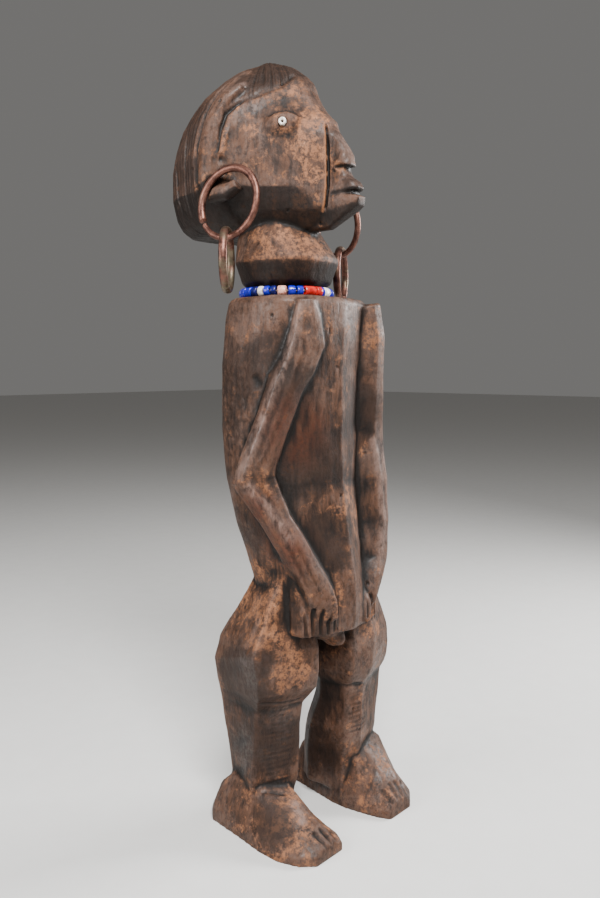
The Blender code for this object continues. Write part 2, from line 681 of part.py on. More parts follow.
def cut_mesh(mesh, cutters, helpers):
    """A mesh with the cutters taken out of it."""
    carrier = bpy.data.objects.new("carrier", mesh)
    helpers.objects.link(carrier)
    cut_with(carrier, cutters, helpers)
    result = evaluated_mesh(carrier)
    bpy.data.objects.remove(carrier)
    return result


def join_meshes(meshes):
    """Put several closed shells in one mesh."""
    bm = bmesh.new()
    for mesh in meshes:
        bm.from_mesh(mesh)
    joined = bpy.data.meshes.new("joined")
    bm.to_mesh(joined)
    bm.free()
    return joined


def head_meshes(helpers):
    """Head, hair, face strip and ears, with the cuts of the face."""
    sockets = []
    mounds = []
    for side in (RIGHT, LEFT):
        normal, turn = cheek_normal(side), cheek_turn(side)
        centre = eye_place(side)
        lift = (EYE_SOCKET_RADII.y - EYE_DEPTH) * UNIT
        sockets.append(ellipsoid(centre + normal * lift, EYE_SOCKET_RADII * UNIT, turn))
        mounds.append(ellipsoid(centre - normal * EYE_DEPTH * UNIT, EYE_MOUND_RADII * UNIT, turn))
    conchas = [ellipsoid(drawn(side * CONCHA.x, CONCHA.y, CONCHA.z), CONCHA_RADII * UNIT)
               for side in (RIGHT, LEFT)]
    cheek_cuts = [cheek_cut(side) for side in (RIGHT, LEFT)]
    holes = [ring_hole_cutter(side) for side in (RIGHT, LEFT)]
    skull = cut_mesh(jaw_cut(skull_mesh()), sockets + cheek_cuts + conchas + holes, helpers)
    hair = cut_mesh(skull_mesh(HAIR_RAISE), [hairline_cutter()] + conchas + holes, helpers)
    ears = [cut_mesh(ear_mesh(side), [ring_hole_cutter(side)], helpers) for side in (RIGHT, LEFT)]
    return [skull, hair, face_strip_mesh()] + ears + mounds


def body_meshes(helpers):
    """Everything below the head, each piece a closed shell that overlaps its neighbours."""
    meshes = [neck_mesh(), torso_mesh()]
    for side in (RIGHT, LEFT):
        meshes.append(arm_mesh(side))
        meshes.append(cut_mesh(hand_mesh(side), finger_cuts(side), helpers))
        meshes.append(leg_mesh(side))
        meshes.append(cut_mesh(foot_mesh(side), toe_cuts(side), helpers))
    for centre, radii in (LOWER_BELLY, LOWER_KNOB):
        meshes.append(ellipsoid(drawn(*centre), Vector(radii) * UNIT))
    return meshes


def blend_shells(mesh, helpers):
    """Merge overlapping shells into one skin, soften it and thin out its triangles."""
    carrier = bpy.data.objects.new("carrier", mesh)
    helpers.objects.link(carrier)
    remesh = carrier.modifiers.new("One skin", "REMESH")
    remesh.mode = "VOXEL"
    remesh.voxel_size = VOXEL * UNIT
    smooth = carrier.modifiers.new("Soften", "SMOOTH")
    smooth.factor = 0.5
    smooth.iterations = SMOOTHING_PASSES
    dense = evaluated_mesh(carrier)
    faces = sum(len(face.vertices) - 2 for face in dense.polygons)
    thin = carrier.modifiers.new("Thin", "DECIMATE")
    thin.ratio = FIGURE_TRIANGLES / faces
    result = evaluated_mesh(carrier)
    bpy.data.objects.remove(carrier)
    return result


def cut_flat(mesh):
    """Cut the soles flat at the ground."""
    bm = bmesh.new()
    bm.from_mesh(mesh)
    geometry = bm.verts[:] + bm.edges[:] + bm.faces[:]
    cut = bmesh.ops.bisect_plane(bm, geom=geometry, plane_co=(0, 0, 0), plane_no=(0, 0, 1),
                                 clear_inner=True)
    rim = [e for e in cut["geom_cut"] if isinstance(e, bmesh.types.BMEdge)]
    bmesh.ops.holes_fill(bm, edges=rim, sides=0)
    bmesh.ops.triangulate(bm, faces=bm.faces)
    return mesh_of(bm, "flat")


def keep_largest(mesh):
    """Drop any crumb that the blending left loose."""
    bm = bmesh.new()
    bm.from_mesh(mesh)
    left = set(bm.verts)
    groups = []
    while left:
        group, edge_of_group = set(), [left.pop()]
        while edge_of_group:
            vert = edge_of_group.pop()
            group.add(vert)
            for edge in vert.link_edges:
                other = edge.other_vert(vert)
                if other in left:
                    left.remove(other)
                    edge_of_group.append(other)
        groups.append(group)
    groups.sort(key=len)
    for group in groups[:-1]:
        bmesh.ops.delete(bm, geom=list(group), context="VERTS")
    return mesh_of(bm, "largest")


def eye_bead_matrix(side):
    """Place of an eye bead, its hole facing out of the cheek."""
    normal = cheek_normal(side)
    rise = (EYE_MOUND_RADII.y - EYE_DEPTH) * UNIT + CLEARANCE
    place = eye_place(side) + normal * rise
    return Matrix.Translation(place) @ normal.to_track_quat("Z", "Y").to_matrix().to_4x4()


def eye_socket_cutter(side):
    """A round seat for the eye bead."""
    bm = bmesh.new()
    radius = EYE_BEAD_DIAMETER / 2 + CLEARANCE
    depth = EYE_BEAD_THICKNESS + 2 * CLEARANCE
    bmesh.ops.create_cone(bm, cap_ends=True, segments=16, radius1=radius, radius2=radius, depth=depth)
    return placed(bm, eye_bead_matrix(side))


def make_figure(material, collection, helpers):
    """The carved wood, one solid from crown to soles."""
    shells = join_meshes(head_meshes(helpers) + body_meshes(helpers))
    mesh = keep_largest(cut_flat(blend_shells(shells, helpers)))
    mesh = cut_mesh(mesh, [eye_socket_cutter(side) for side in (RIGHT, LEFT)], helpers)
    return add_object("carved_figure", mesh, material, collection)


def make_rings(materials, collection):
    """An ear ring in each lobe, with a second ring hanging from it."""
    for side, word in ((RIGHT, "right"), (LEFT, "left")):
        ring = bent_rod(EAR_RING_DIAMETER / 2, EAR_RING_WIRE, EAR_RING_THIN_END, None,
                        EAR_RING_JOINT, EAR_RING_JOINT_AT)
        add_object(f"{word}_ear_ring", placed(ring, ring_matrix(*ring_frame(side))),
                   materials["copper"], collection)
        ring = bent_rod(PENDANT_DIAMETER / 2, PENDANT_THICKNESS, PENDANT_THICKNESS, PENDANT_BAND,
                        PENDANT_JOINT, PENDANT_JOINT_AT)
        add_object(f"{word}_hanging_ring", placed(ring, ring_matrix(*pendant_frame(side))),
                   materials["brass"], collection)


def bead_chamfer(length, diameter, bore):
    """How far the shoulders of a bead are rounded off."""
    return min(length * 0.3, (diameter - bore) * 0.22)


def bead_bm(length, diameter, bore, sides):
    """A bead turned about Z, with a hole through it and rounded shoulders."""
    outer, inner, half = diameter / 2, bore / 2, length / 2
    chamfer = bead_chamfer(length, diameter, bore)
    profile = [(inner, half), (outer - chamfer, half), (outer, half - chamfer),
               (outer, chamfer - half), (outer - chamfer, -half), (inner, -half)]
    bm = bmesh.new()
    verts = [bm.verts.new((r, 0.0, z)) for r, z in profile]
    edges = [bm.edges.new((verts[i], verts[(i + 1) % len(verts)])) for i in range(len(verts))]
    bmesh.ops.spin(bm, geom=verts + edges, cent=(0, 0, 0), axis=(0, 0, 1), angle=2 * math.pi,
                   steps=sides, use_merge=True)
    bmesh.ops.remove_doubles(bm, verts=bm.verts, dist=inner * 0.01)
    return bm


def make_eye_beads(material, collection):
    """A small white ring bead set in each eye."""
    for side, word in ((RIGHT, "right"), (LEFT, "left")):
        bm = bead_bm(EYE_BEAD_THICKNESS, EYE_BEAD_DIAMETER, EYE_BEAD_BORE, 10)
        add_object(f"{word}_eye_bead", placed(bm, eye_bead_matrix(side)), material, collection)


def necklace_radius():
    """Distance of the thread from the neck's own axis."""
    neck = NECK_ROWS[1][1] * UNIT
    return neck + CLEARANCE + BEAD_DIAMETER / 2 + 2 * CLEARANCE


def necklace_height():
    """Height of the thread, with the beads resting on the shoulders."""
    return TORSO_ROWS[-1][0] * UNIT + BEAD_DIAMETER / 2 + 2 * CLEARANCE


def necklace_place(angle):
    """Point on the thread and the way it runs there, at an angle from straight back."""
    radius = necklace_radius()
    point = Vector((radius * math.sin(angle), NECK_ROWS[1][2] * UNIT + radius * math.cos(angle),
                    necklace_height()))
    return point, Vector((math.cos(angle), -math.sin(angle), 0.0))


def bead_length(half_angle):
    """Length of a bead that fills an angle round the neck, up to a gap at its inner corners."""
    inner = necklace_radius() - BEAD_DIAMETER / 2
    rise = math.tan(half_angle - BEAD_GAP / 2 / inner)
    chamfer = bead_chamfer(2 * inner * rise, BEAD_DIAMETER, BEAD_BORE)
    return 2 * (inner + chamfer) * rise


def make_necklace(materials, collection):
    """Beads on a thread round the foot of the neck, placed one after another."""
    thread = torus(necklace_radius(), THREAD_DIAMETER / 2, 36, 5)
    centre = Vector((0.0, NECK_ROWS[1][2] * UNIT, necklace_height()))
    add_object("necklace_thread", placed(thread, Matrix.Translation(centre)),
               materials["thread"], collection)
    beads = [BEAD_ORDER[i % len(BEAD_ORDER)] for i in range(BEAD_COUNT)]
    half_turn_per_share = math.pi / sum(share for _, share in beads)
    angle = math.radians(FIRST_BEAD_ANGLE)
    for i, (colour, share) in enumerate(beads):
        half_angle = share * half_turn_per_share
        angle -= half_angle
        point, along = necklace_place(angle)
        turn = along.to_track_quat("Z", "Y").to_matrix().to_4x4()
        bm = bead_bm(bead_length(half_angle), BEAD_DIAMETER, BEAD_BORE, BEAD_SIDES)
        add_object(f"necklace_bead_{i + 1:02d}", placed(bm, Matrix.Translation(point) @ turn),
                   materials[colour], collection)
        angle -= half_angle


def make_materials():
    """One plain material for each finish."""
    made = {
        "wood": material_named("carved wood", WOOD_COLOUR, 0.55),
        "copper": material_named("worn copper", COPPER_COLOUR, 0.42, 1.0),
        "brass": material_named("tarnished brass", BRASS_COLOUR, 0.48, 1.0),
        "thread": material_named("thread", THREAD_COLOUR, 0.90),
    }
    for name, colour in BEAD_COLOURS.items():
        made[name] = material_named(f"{name} glass", colour, 0.15)
    return made


def centre_on_ground(collection):
    """Hang everything from an empty that puts the middle of the whole outline on the origin."""
    corners = [v.co for obj in collection.objects for v in obj.data.vertices]
    middle = [(min(c[k] for c in corners) + max(c[k] for c in corners)) / 2 for k in (0, 1)]
    stand = bpy.data.objects.new("stand_point", None)
    stand.location = (-middle[0], -middle[1], 0.0)
    for obj in collection.objects:
        obj.parent = stand
    bpy.context.scene.collection.objects.link(stand)


def main():
    clear_scene()
    figure = collection_named("Yanda figure")
    helpers = collection_named("Cutters")
    helpers.hide_render = True
    materials = make_materials()
    make_figure(materials["wood"], figure, helpers)
    make_rings(materials, figure)
    make_eye_beads(materials["white"], figure)
    make_necklace(materials, figure)
    centre_on_ground(figure)


main()
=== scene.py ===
# %% [markdown]
# # A carved wooden figure with ear rings, bead eyes and a bead necklace
# The figure is one block of dark hardwood, carved with an adze and a knife, and then worn
# and dusted by long handling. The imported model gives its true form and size. This lesson
# keeps that form, cuts the finer relief into it and gives every piece its finish.

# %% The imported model
import json
import math
import random

import bmesh
import bpy
import numpy as np
from mathutils import Matrix, Vector, noise
from mathutils.bvhtree import BVHTree


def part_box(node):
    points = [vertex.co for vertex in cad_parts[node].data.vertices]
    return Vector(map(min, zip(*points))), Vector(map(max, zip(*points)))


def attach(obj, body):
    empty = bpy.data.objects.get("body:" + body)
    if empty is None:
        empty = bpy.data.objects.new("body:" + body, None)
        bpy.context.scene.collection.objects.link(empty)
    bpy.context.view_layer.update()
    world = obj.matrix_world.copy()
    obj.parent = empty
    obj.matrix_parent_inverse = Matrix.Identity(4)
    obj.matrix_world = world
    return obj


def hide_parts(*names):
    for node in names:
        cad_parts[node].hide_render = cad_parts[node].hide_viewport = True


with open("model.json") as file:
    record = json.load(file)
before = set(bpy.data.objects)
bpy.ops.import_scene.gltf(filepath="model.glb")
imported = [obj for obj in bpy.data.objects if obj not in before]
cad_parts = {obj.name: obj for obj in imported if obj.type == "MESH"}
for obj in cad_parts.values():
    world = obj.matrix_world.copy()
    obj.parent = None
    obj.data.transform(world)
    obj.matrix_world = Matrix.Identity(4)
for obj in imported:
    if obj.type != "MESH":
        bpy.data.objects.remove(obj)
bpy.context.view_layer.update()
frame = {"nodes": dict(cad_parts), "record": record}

scene = bpy.context.scene
show = scene.collection.objects.link
nodes = frame["nodes"]

# %% [markdown]
# ## The carver's grid
# Every place on the figure is given in millimetres from the ground, from the line down the
# middle of the body and from a line 15.7 mm in front of the middle of the neck. The thread
# of the necklace lies round that neck, so its box says where the grid is in the model.

# %% The carver's grid
MM = 0.001
NECK_BEHIND_ZERO = 15.7
thread_low, thread_high = (Vector(c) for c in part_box("necklace_thread"))
neck_middle = (thread_low + thread_high) / 2
GRID_ZERO = Vector((neck_middle.x, neck_middle.y - NECK_BEHIND_ZERO * MM, 0.0))


def at(x, y, z):
    """A place on the carver's grid, in the model's metres."""
    return GRID_ZERO + Vector((x, y, z)) * MM


print("grid zero", tuple(round(v, 4) for v in GRID_ZERO))

# %% [markdown]
# ## Camera
# The photograph was taken from close by, at the height of the chest, from the front and the
# figure's right. So the camera stands about 42 cm away with a wide lens. Its place could be
# found by trying, but here it was worked out from points that the photograph shows.

# %% Camera
LENS_MM = 33.15
CAMERA_PLACE = (-314.7, -277.0, 235.0)
CAMERA_PITCH = math.radians(5.7)
CAMERA_HEADING = Vector((0.743, 0.669, 0.0)).normalized()

camera_data = bpy.data.cameras.new("camera")
camera_data.lens = LENS_MM
camera_data.sensor_width = 36.0
camera_data.clip_start = 0.01
camera = bpy.data.objects.new("camera", camera_data)
show(camera)
down = Vector((0, 0, math.sin(CAMERA_PITCH)))
view_line = CAMERA_HEADING * math.cos(CAMERA_PITCH) - down
camera.location = at(*CAMERA_PLACE)
camera.rotation_euler = view_line.to_track_quat("-Z", "Y").to_euler()
scene.camera = camera
print("camera", tuple(round(v, 3) for v in camera.location))

# %% [markdown]
# ## Floor
# The figure stands on plain pale paper. One large square is enough, because nothing on it is
# looked at.

# %% Floor
FLOOR_HALF = 6.0
floor_bm = bmesh.new()
bmesh.ops.create_grid(floor_bm, x_segments=1, y_segments=1, size=FLOOR_HALF)
floor_mesh = bpy.data.meshes.new("floor")
floor_bm.to_mesh(floor_mesh)
floor_bm.free()
floor = bpy.data.objects.new("floor", floor_mesh)
show(floor)
print("floor", 2 * FLOOR_HALF, "m wide")

# %% [markdown]
# ## Light
# Soft light comes from above and in front, with a weaker one from each side. Area lights do
# this, and their size sets how soft a shadow is. The world lights the deepest shadows.

# %% Light


def soft_light(name, place, aim, size, power):
    """A square soft light that looks at a point."""
    data = bpy.data.lights.new(name, "AREA")
    data.size = size
    data.energy = power
    lamp = bpy.data.objects.new(name, data)
    show(lamp)
    lamp.location = place
    lamp.rotation_euler = (aim - place).to_track_quat("-Z", "Y").to_euler()


CHEST = at(0, 0, 220)
soft_light("key", at(-330, -420, 800), CHEST, 0.30, 17.0)
soft_light("right fill", at(560, -260, 420), CHEST, 0.25, 8.5)
soft_light("left fill", at(-620, 200, 420), CHEST, 0.35, 4.5)

world = bpy.data.worlds.new("studio")
world.use_nodes = True
background = world.node_tree.nodes["Background"]
background.inputs["Color"].default_value = (1.0, 0.98, 0.95, 1.0)
background.inputs["Strength"].default_value = 0.17
scene.world = world
print("lights", len(bpy.data.lights))

# %% [markdown]
# ## Building materials from nodes
# A finish is easier to read as a list of nodes than as clicks in an editor, so a few small
# helpers add and join them. Places are read in Object coordinates, which are metres here.

# %% Node helpers


def new_material(name):
    """An empty Principled material, with its tree and its shader."""
    material = bpy.data.materials.new(name)
    material.use_nodes = True
    return material, material.node_tree, material.node_tree.nodes["Principled BSDF"]


def add_node(tree, kind, inputs=None, **settings):
    """Add a node, set its options, and set or link its inputs."""
    made = tree.nodes.new(kind)
    for key, value in settings.items():
        setattr(made, key, value)
    for key, value in (inputs or {}).items():
        if isinstance(value, bpy.types.NodeSocket):
            tree.links.new(value, made.inputs[key])
        else:
            made.inputs[key].default_value = value
    return made


def places(tree, scale=(1.0, 1.0, 1.0)):
    """Object coordinates, stretched by a scale."""
    where = add_node(tree, "ShaderNodeTexCoord")
    return add_node(tree, "ShaderNodeMapping",
                    {"Vector": where.outputs["Object"], "Scale": scale}).outputs[0]


def speckle(tree, vector, scale, detail=4.0, roughness=0.55, distortion=0.0):
    """A noise texture's value."""
    return add_node(tree, "ShaderNodeTexNoise",
                    {"Vector": vector, "Scale": scale, "Detail": detail, "Roughness": roughness,
                     "Distortion": distortion}).outputs["Fac"]


# %% Helpers that change a value or a colour


def ramp(tree, value, low, high):
    """Stretch the part of a value between low and high to 0 to 1."""
    return add_node(tree, "ShaderNodeMapRange",
                    {"Value": value, "From Min": low, "From Max": high},
                    interpolation_type="SMOOTHSTEP").outputs[0]


def between(tree, value, low, high):
    """Turn a value from 0 to 1 into one from low to high."""
    return add_node(tree, "ShaderNodeMapRange",
                    {"Value": value, "To Min": low, "To Max": high}).outputs[0]


def maths(tree, operation, a, b=0.0, clamp=False):
    """One sum on two values."""
    return add_node(tree, "ShaderNodeMath", {0: a, 1: b}, operation=operation,
                    use_clamp=clamp).outputs[0]


def times(tree, a, b, clamp=False):
    """One value times another."""
    return maths(tree, "MULTIPLY", a, b, clamp)


def blend(tree, share, first, second):
    """Mix two colours by a share from 0 to 1."""
    mix = add_node(tree, "ShaderNodeMix", data_type="RGBA")
    for socket, value in ((mix.inputs["Factor"], share), (mix.inputs[6], first),
                          (mix.inputs[7], second)):
        if isinstance(value, bpy.types.NodeSocket):
            tree.links.new(value, socket)
        else:
            socket.default_value = value
    return mix.outputs[2]


def painted(tree, name):
    """A number kept at each point of the mesh."""
    return add_node(tree, "ShaderNodeAttribute", attribute_name=name).outputs["Fac"]


def bumps(tree, shader, height, distance, strength=1.0):
    """Use a value as fine relief."""
    bump = add_node(tree, "ShaderNodeBump", {"Height": height, "Distance": distance,
                                             "Strength": strength})
    tree.links.new(bump.outputs[0], shader.inputs["Normal"])


# %% [markdown]
# ## Floor finish
# The paper is nearly white, with a faint tooth. An image of paper would do it too, but a fine
# noise between two close tones needs no file and never repeats.

# %% Floor finish
paper, tree, shader = new_material("studio paper")
tooth = speckle(tree, places(tree), 60.0)
tree.links.new(blend(tree, tooth, (0.62, 0.61, 0.59, 1), (0.68, 0.67, 0.65, 1)),
               shader.inputs["Base Color"])
shader.inputs["Roughness"].default_value = 0.9
floor.data.materials.append(paper)
print("floor finish", len(tree.nodes), "nodes")

# %% [markdown]
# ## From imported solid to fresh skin
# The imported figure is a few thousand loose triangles. They are merged, and a voxel remesh
# lays an even skin over them that is fine enough to cut into. Sculpting by hand would do the
# same. Doing it in code keeps every cut at a known place on the grid.

# %% Fresh skin
SKIN_VOXEL = 0.62 * MM
SOFTEN_PASSES = 4


def merged_copy(name):
    """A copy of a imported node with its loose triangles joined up."""
    bm = bmesh.new()
    bm.from_mesh(nodes[name].data)
    bmesh.ops.remove_doubles(bm, verts=bm.verts, dist=1e-6)
    mesh = bpy.data.meshes.new(name + "_copy")
    bm.to_mesh(mesh)
    bm.free()
    return mesh


def worked_in(obj):
    """The mesh of an object with its modifiers applied; the object goes."""
    graph = bpy.context.evaluated_depsgraph_get()
    mesh = bpy.data.meshes.new_from_object(obj.evaluated_get(graph))
    bpy.data.objects.remove(obj)
    return mesh


block = bpy.data.objects.new("block", merged_copy("carved_figure"))
show(block)
remesh = block.modifiers.new("fresh skin", "REMESH")
remesh.mode = "VOXEL"
remesh.voxel_size = SKIN_VOXEL
soften = block.modifiers.new("soften", "SMOOTH")
soften.iterations = SOFTEN_PASSES
soften.factor = 0.5
wood_mesh = worked_in(block)
print("skin points", len(wood_mesh.vertices))

# %% [markdown]
# ## The carver's tools
# Three moves make nearly all of the relief. A stroke follows a path and presses a groove or
# raises a ridge. Burnishing rubs the skin smooth near a path, as years of hands do. A field
# moves every point by a value, for tool marks and grain.

# %% The skin as numbers


class Skin:
    """The points of the figure on the carver's grid, and the way each one faces."""

    def __init__(self, mesh):
        self.mesh = mesh
        self.read()

    def read(self):
        """Take the points and normals from the mesh."""
        count = len(self.mesh.vertices)
        flat = np.empty(count * 3)
        self.mesh.vertices.foreach_get("co", flat)
        self.co = (flat.reshape(-1, 3) - np.array(GRID_ZERO)) / MM
        self.mesh.vertices.foreach_get("normal", flat)
        self.no = flat.reshape(-1, 3).copy()

    def write(self):
        """Give the moved points back to the mesh and read its new normals."""
        self.mesh.vertices.foreach_set("co", (self.co * MM + np.array(GRID_ZERO)).ravel())
        self.mesh.update()
        self.read()


skin = Skin(wood_mesh)
print("grid box", skin.co.min(axis=0).round(1), skin.co.max(axis=0).round(1))

# %% The stroke
LIGHTEST = 0.25


def near_path(points, path):
    """Distance of each point from a path, and how far along it that is, from 0 to 1."""
    path = np.array(path, dtype=float)
    lengths = np.linalg.norm(np.diff(path, axis=0), axis=1)
    starts = np.concatenate([[0.0], np.cumsum(lengths)])
    best = np.full(len(points), np.inf)
    share = np.zeros(len(points))
    for a, b, length, start in zip(path, path[1:], lengths, starts):
        t = np.clip((points - a) @ (b - a) / length ** 2, 0, 1)
        gap = np.linalg.norm(points - a - t[:, None] * (b - a), axis=1)
        closer = gap < best
        best[closer] = gap[closer]
        share[closer] = (start + t[closer] * length) / starts[-1]
    return best, share


def stroke(skin, path, half_width, height, ends=0.12, squash=(1.0, 1.0, 1.0)):
    """Press a groove, or with a positive height raise a ridge, along a path.

    Ends is the share of the path over which the tool lifts off. Squash says how much a
    distance along each axis counts, so that a path needn't be quite on the skin.
    """
    path = np.array(path, dtype=float)
    squash = np.array(squash)
    low = path.min(axis=0) - half_width / squash
    high = path.max(axis=0) + half_width / squash
    touched = np.flatnonzero(np.all((skin.co > low) & (skin.co < high), axis=1))
    gap, share = near_path(skin.co[touched] * squash, path * squash)
    shape = np.clip(1 - gap / half_width, 0, 1)
    shape = shape * shape * (3 - 2 * shape)
    fade = np.clip(np.minimum(share, 1 - share) / ends, LIGHTEST, 1) if ends else 1.0
    skin.co[touched] += skin.no[touched] * (height * shape * fade)[:, None]


def both_sides(path):
    """A path and its mirror image across the middle of the body."""
    return [path, [(-x, y, z) for x, y, z in path]]


# %% Burnishing and the field
RUB_FADE = 1.8


def mean_of_neighbours(values, edges, degree, passes):
    """Average each point with its neighbours, several times."""
    for _ in range(passes):
        total = np.empty_like(values)
        for axis in range(values.shape[1]):
            column = values[:, axis]
            total[:, axis] = (np.bincount(edges[:, 0], column[edges[:, 1]], len(values))
                              + np.bincount(edges[:, 1], column[edges[:, 0]], len(values)))
        values = 0.5 * values + 0.5 * total / degree[:, None]
    return values


def edge_table(mesh):
    """The two ends of every edge, and how many edges meet at each point."""
    edges = np.empty(len(mesh.edges) * 2, dtype=np.int32)
    mesh.edges.foreach_get("vertices", edges)
    meeting = np.bincount(edges, minlength=len(mesh.vertices)).astype(float)
    return edges.reshape(-1, 2), meeting


def burnish(skin, path, reach, passes):
    """Rub the skin smooth near a path."""
    gap, _ = near_path(skin.co, path)
    inside = gap < reach
    edges = edge_table(skin.mesh)[0]
    edges = edges[inside[edges].all(axis=1)]
    number = np.cumsum(inside) - 1
    edges = number[edges]
    degree = np.maximum(np.bincount(edges.ravel(), minlength=inside.sum()), 1).astype(float)
    before = skin.co[inside]
    smooth = mean_of_neighbours(before, edges, degree, passes)
    share = np.clip(RUB_FADE * (1 - gap[inside] / reach), 0, 1)
    skin.co[inside] += (smooth - before) * share[:, None]


def field(skin, values):
    """Move every point along its normal by a value in millimetres."""
    skin.co += skin.no * values[:, None]


print("edges to rub along", len(wood_mesh.edges))

# %% [markdown]
# ## Head
# The ear is one long band that runs from the crown down behind the cheek, with a groove on
# each side. The eye is a shallow almond round the bead. A deep thin cut parts the cheek from
# the strip of nose and mouth, and the lobe is hollowed out above the hole of the ring.

# %% Paths of the ears and the face
BAND_BACK = [(-22.1, 31.6, 375.6), (-28.4, 34.9, 369.1), (-34.2, 37.4, 358.8),
             (-36.6, 38.4, 351.9), (-38, 40, 342.9), (-38.8, 40.7, 334.8), (-38.5, 40.5, 326.2),
             (-38.3, 38.6, 320.2)]
BAND_FRONT = [(-26.4, 16.8, 362.9), (-30.6, 20, 359.4), (-34.5, 22.8, 355), (-36.7, 24, 348.2),
              (-38.3, 24.6, 340.2), (-38.8, 25.5, 334.4)]
BAND_MIDDLE = [(-25, 22, 370), (-31, 28, 362), (-36, 31, 352), (-38, 32.5, 340), (-38.6, 33, 328),
               (-38, 30, 319)]
HAIRLINE = [(-4, 2, 377), (-7.3, 4.4, 375.1), (-14.6, 6.2, 369), (-20, 10.9, 366.4),
            (-26.7, 16.4, 361.9)]
EYE_RIM = [(-22.8, 9.5, 352.9), (-22.4, 9, 356.6), (-19.4, 7, 358.6), (-15.5, 4, 359.6),
           (-12.2, -0.6, 357.6), (-10.9, -4.8, 353.7), (-11.5, -7.2, 349.8), (-14.2, -5.4, 346),
           (-16.8, -2.6, 344.2), (-19.7, 1, 345), (-22.6, 4.4, 347.6), (-22.8, 9.5, 352.9)]
CHEEK_SLIT = [(-4.8, -14.9, 349), (-5, -16, 339.6), (-5, -16.3, 330.3), (-5.1, -16.2, 321),
              (-5.3, -15.3, 312.3), (-5.4, -14.4, 309)]
NOSTRIL_WING = [(-3.6, -24.5, 334), (-4.4, -22.4, 331), (-4.2, -20.5, 329)]
MOUTH = [(-5, -25, 316.4), (-4.4, -29.6, 316.3), (0, -30.6, 316.3), (4.4, -29.6, 316.3),
         (5, -25, 316.4)]
LIP_CORNER = [(-5.2, -24.5, 322.4), (-5.2, -29.5, 322.6)]
BROW = [(-4, -3, 371), (-7.8, -0.7, 369.2), (-12.8, 3.3, 367.4), (-17.2, 7, 365.8),
        (-25.2, 12.5, 360), (-30.7, 17.2, 355.1), (-33.8, 20.1, 350.9)]
NOSTRIL = [(-5.4, -21.5, 328.6), (-4.6, -24.4, 328.4), (0, -26.8, 327.6), (4.6, -24.4, 328.4),
           (5.4, -21.5, 328.6)]
LOBE = [(-38.4, 35, 322), (-38.3, 32, 327)]
LOBE_TONGUE = [(-32.6, 17.5, 324.7), (-34.5, 20.4, 323.9)]
LOBE_HOLLOW = [(-39, 25.6, 333.4), (-38, 21.5, 333.6), (-36.6, 17.4, 331.6)]
print("ear band", BAND_BACK[0][2], "to", BAND_BACK[-1][2], "mm")

# %% [markdown]
# ## Cutting the head
# A carver smooths a face first and makes the sharp cuts last. The order is the same here: the
# brow is burnished, the ear band is raised, and then the grooves are pressed in on both sides.

# %% Cutting the head
# Each burnished path with its reach and the number of rubs
BURNISHED = [(BROW, 7.0, 260), (LOBE_TONGUE, 8.0, 260)]
EYE_RUBS = (3.6, 45)
# Each path with its half width, its height and the share where the tool lifts off
EAR_STROKES = [(BAND_BACK, 1.9, -1.5, 0.12), (BAND_FRONT, 1.5, -1.3, 0.12),
               (HAIRLINE, 2.2, -0.7, 0.12), (LOBE, 6.0, 1.6, 0)]
FACE_STROKES = [(CHEEK_SLIT, 0.95, -2.4, 0.04), (NOSTRIL_WING, 2.6, 0.7, 0),
                (LIP_CORNER, 1.4, -0.7, 0), (LOBE_HOLLOW, 3.2, -2.0, 0.3)]


def strokes_on_both_sides(skin, strokes):
    """Cut a list of strokes, each on the right and then on the left."""
    for path, half_width, height, ends in strokes:
        for side in both_sides(path):
            stroke(skin, side, half_width, height, ends)


for path, reach, rubs in BURNISHED:
    for side in both_sides(path):
        burnish(skin, side, reach, rubs)
skin.write()
strokes_on_both_sides(skin, [(BAND_MIDDLE, 6.5, 0.8, 0.2)])
skin.write()
strokes_on_both_sides(skin, EAR_STROKES)
for side in both_sides(EYE_RIM):
    burnish(skin, side, *EYE_RUBS)
strokes_on_both_sides(skin, FACE_STROKES)
stroke(skin, MOUTH, 1.3, -1.4, ends=0.1)
stroke(skin, NOSTRIL, 2.2, -1.8, ends=0)
skin.write()
print("cuts on the head", 2 * len(EAR_STROKES + FACE_STROKES) + 2)

# %% [markdown]
# ## Hair
# The hair is a raised cap with fine cuts that all run down from the crown. So the cuts are a
# ripple in the angle round the head, only where the hair is. A slow noise bends them and
# fades them in and out, because no two knife strokes are the same.

# %% Hair
CROWN_BACK = 30.0
HAIR_CUTS = 96
BROAD_CUTS = 0.37  # of the number of fine cuts
HAIR_DEPTH = 0.62
FINE_SHARE, BROAD_SHARE = 0.6, 0.9
HAIR_FRONT = ([-10, 2, 4.4, 6.2, 10.9, 16.4, 25], [381, 377, 375.1, 369, 366.4, 361.9, 380])
HAIR_BACK = ([298, 320, 335, 352, 360, 370, 378], [41, 42, 43, 41, 39, 36, 30])


def wander(points, scale, seed=0.0):
    """Smooth noise between about -1 and 1, at each point."""
    shift = Vector((seed, seed * 0.7, -seed))
    return np.array([noise.noise(Vector(p) * scale + shift) for p in points])


def soft_step(value, low, high):
    """0 below low, 1 above high and smooth between."""
    t = np.clip((value - low) / (high - low), 0, 1)
    return t * t * (3 - 2 * t)


def in_hair(points):
    """1 where the hair is, 0 elsewhere, and smooth between."""
    _, y, z = points.T
    back = np.interp(z, *HAIR_BACK)
    front = np.interp(y, *HAIR_FRONT)
    over_brow = soft_step(z, front + 0.3, front + 1.8) * (y < 30)
    return np.clip(soft_step(y, back, back + 2) + over_brow, 0, 1) * (z > 298)


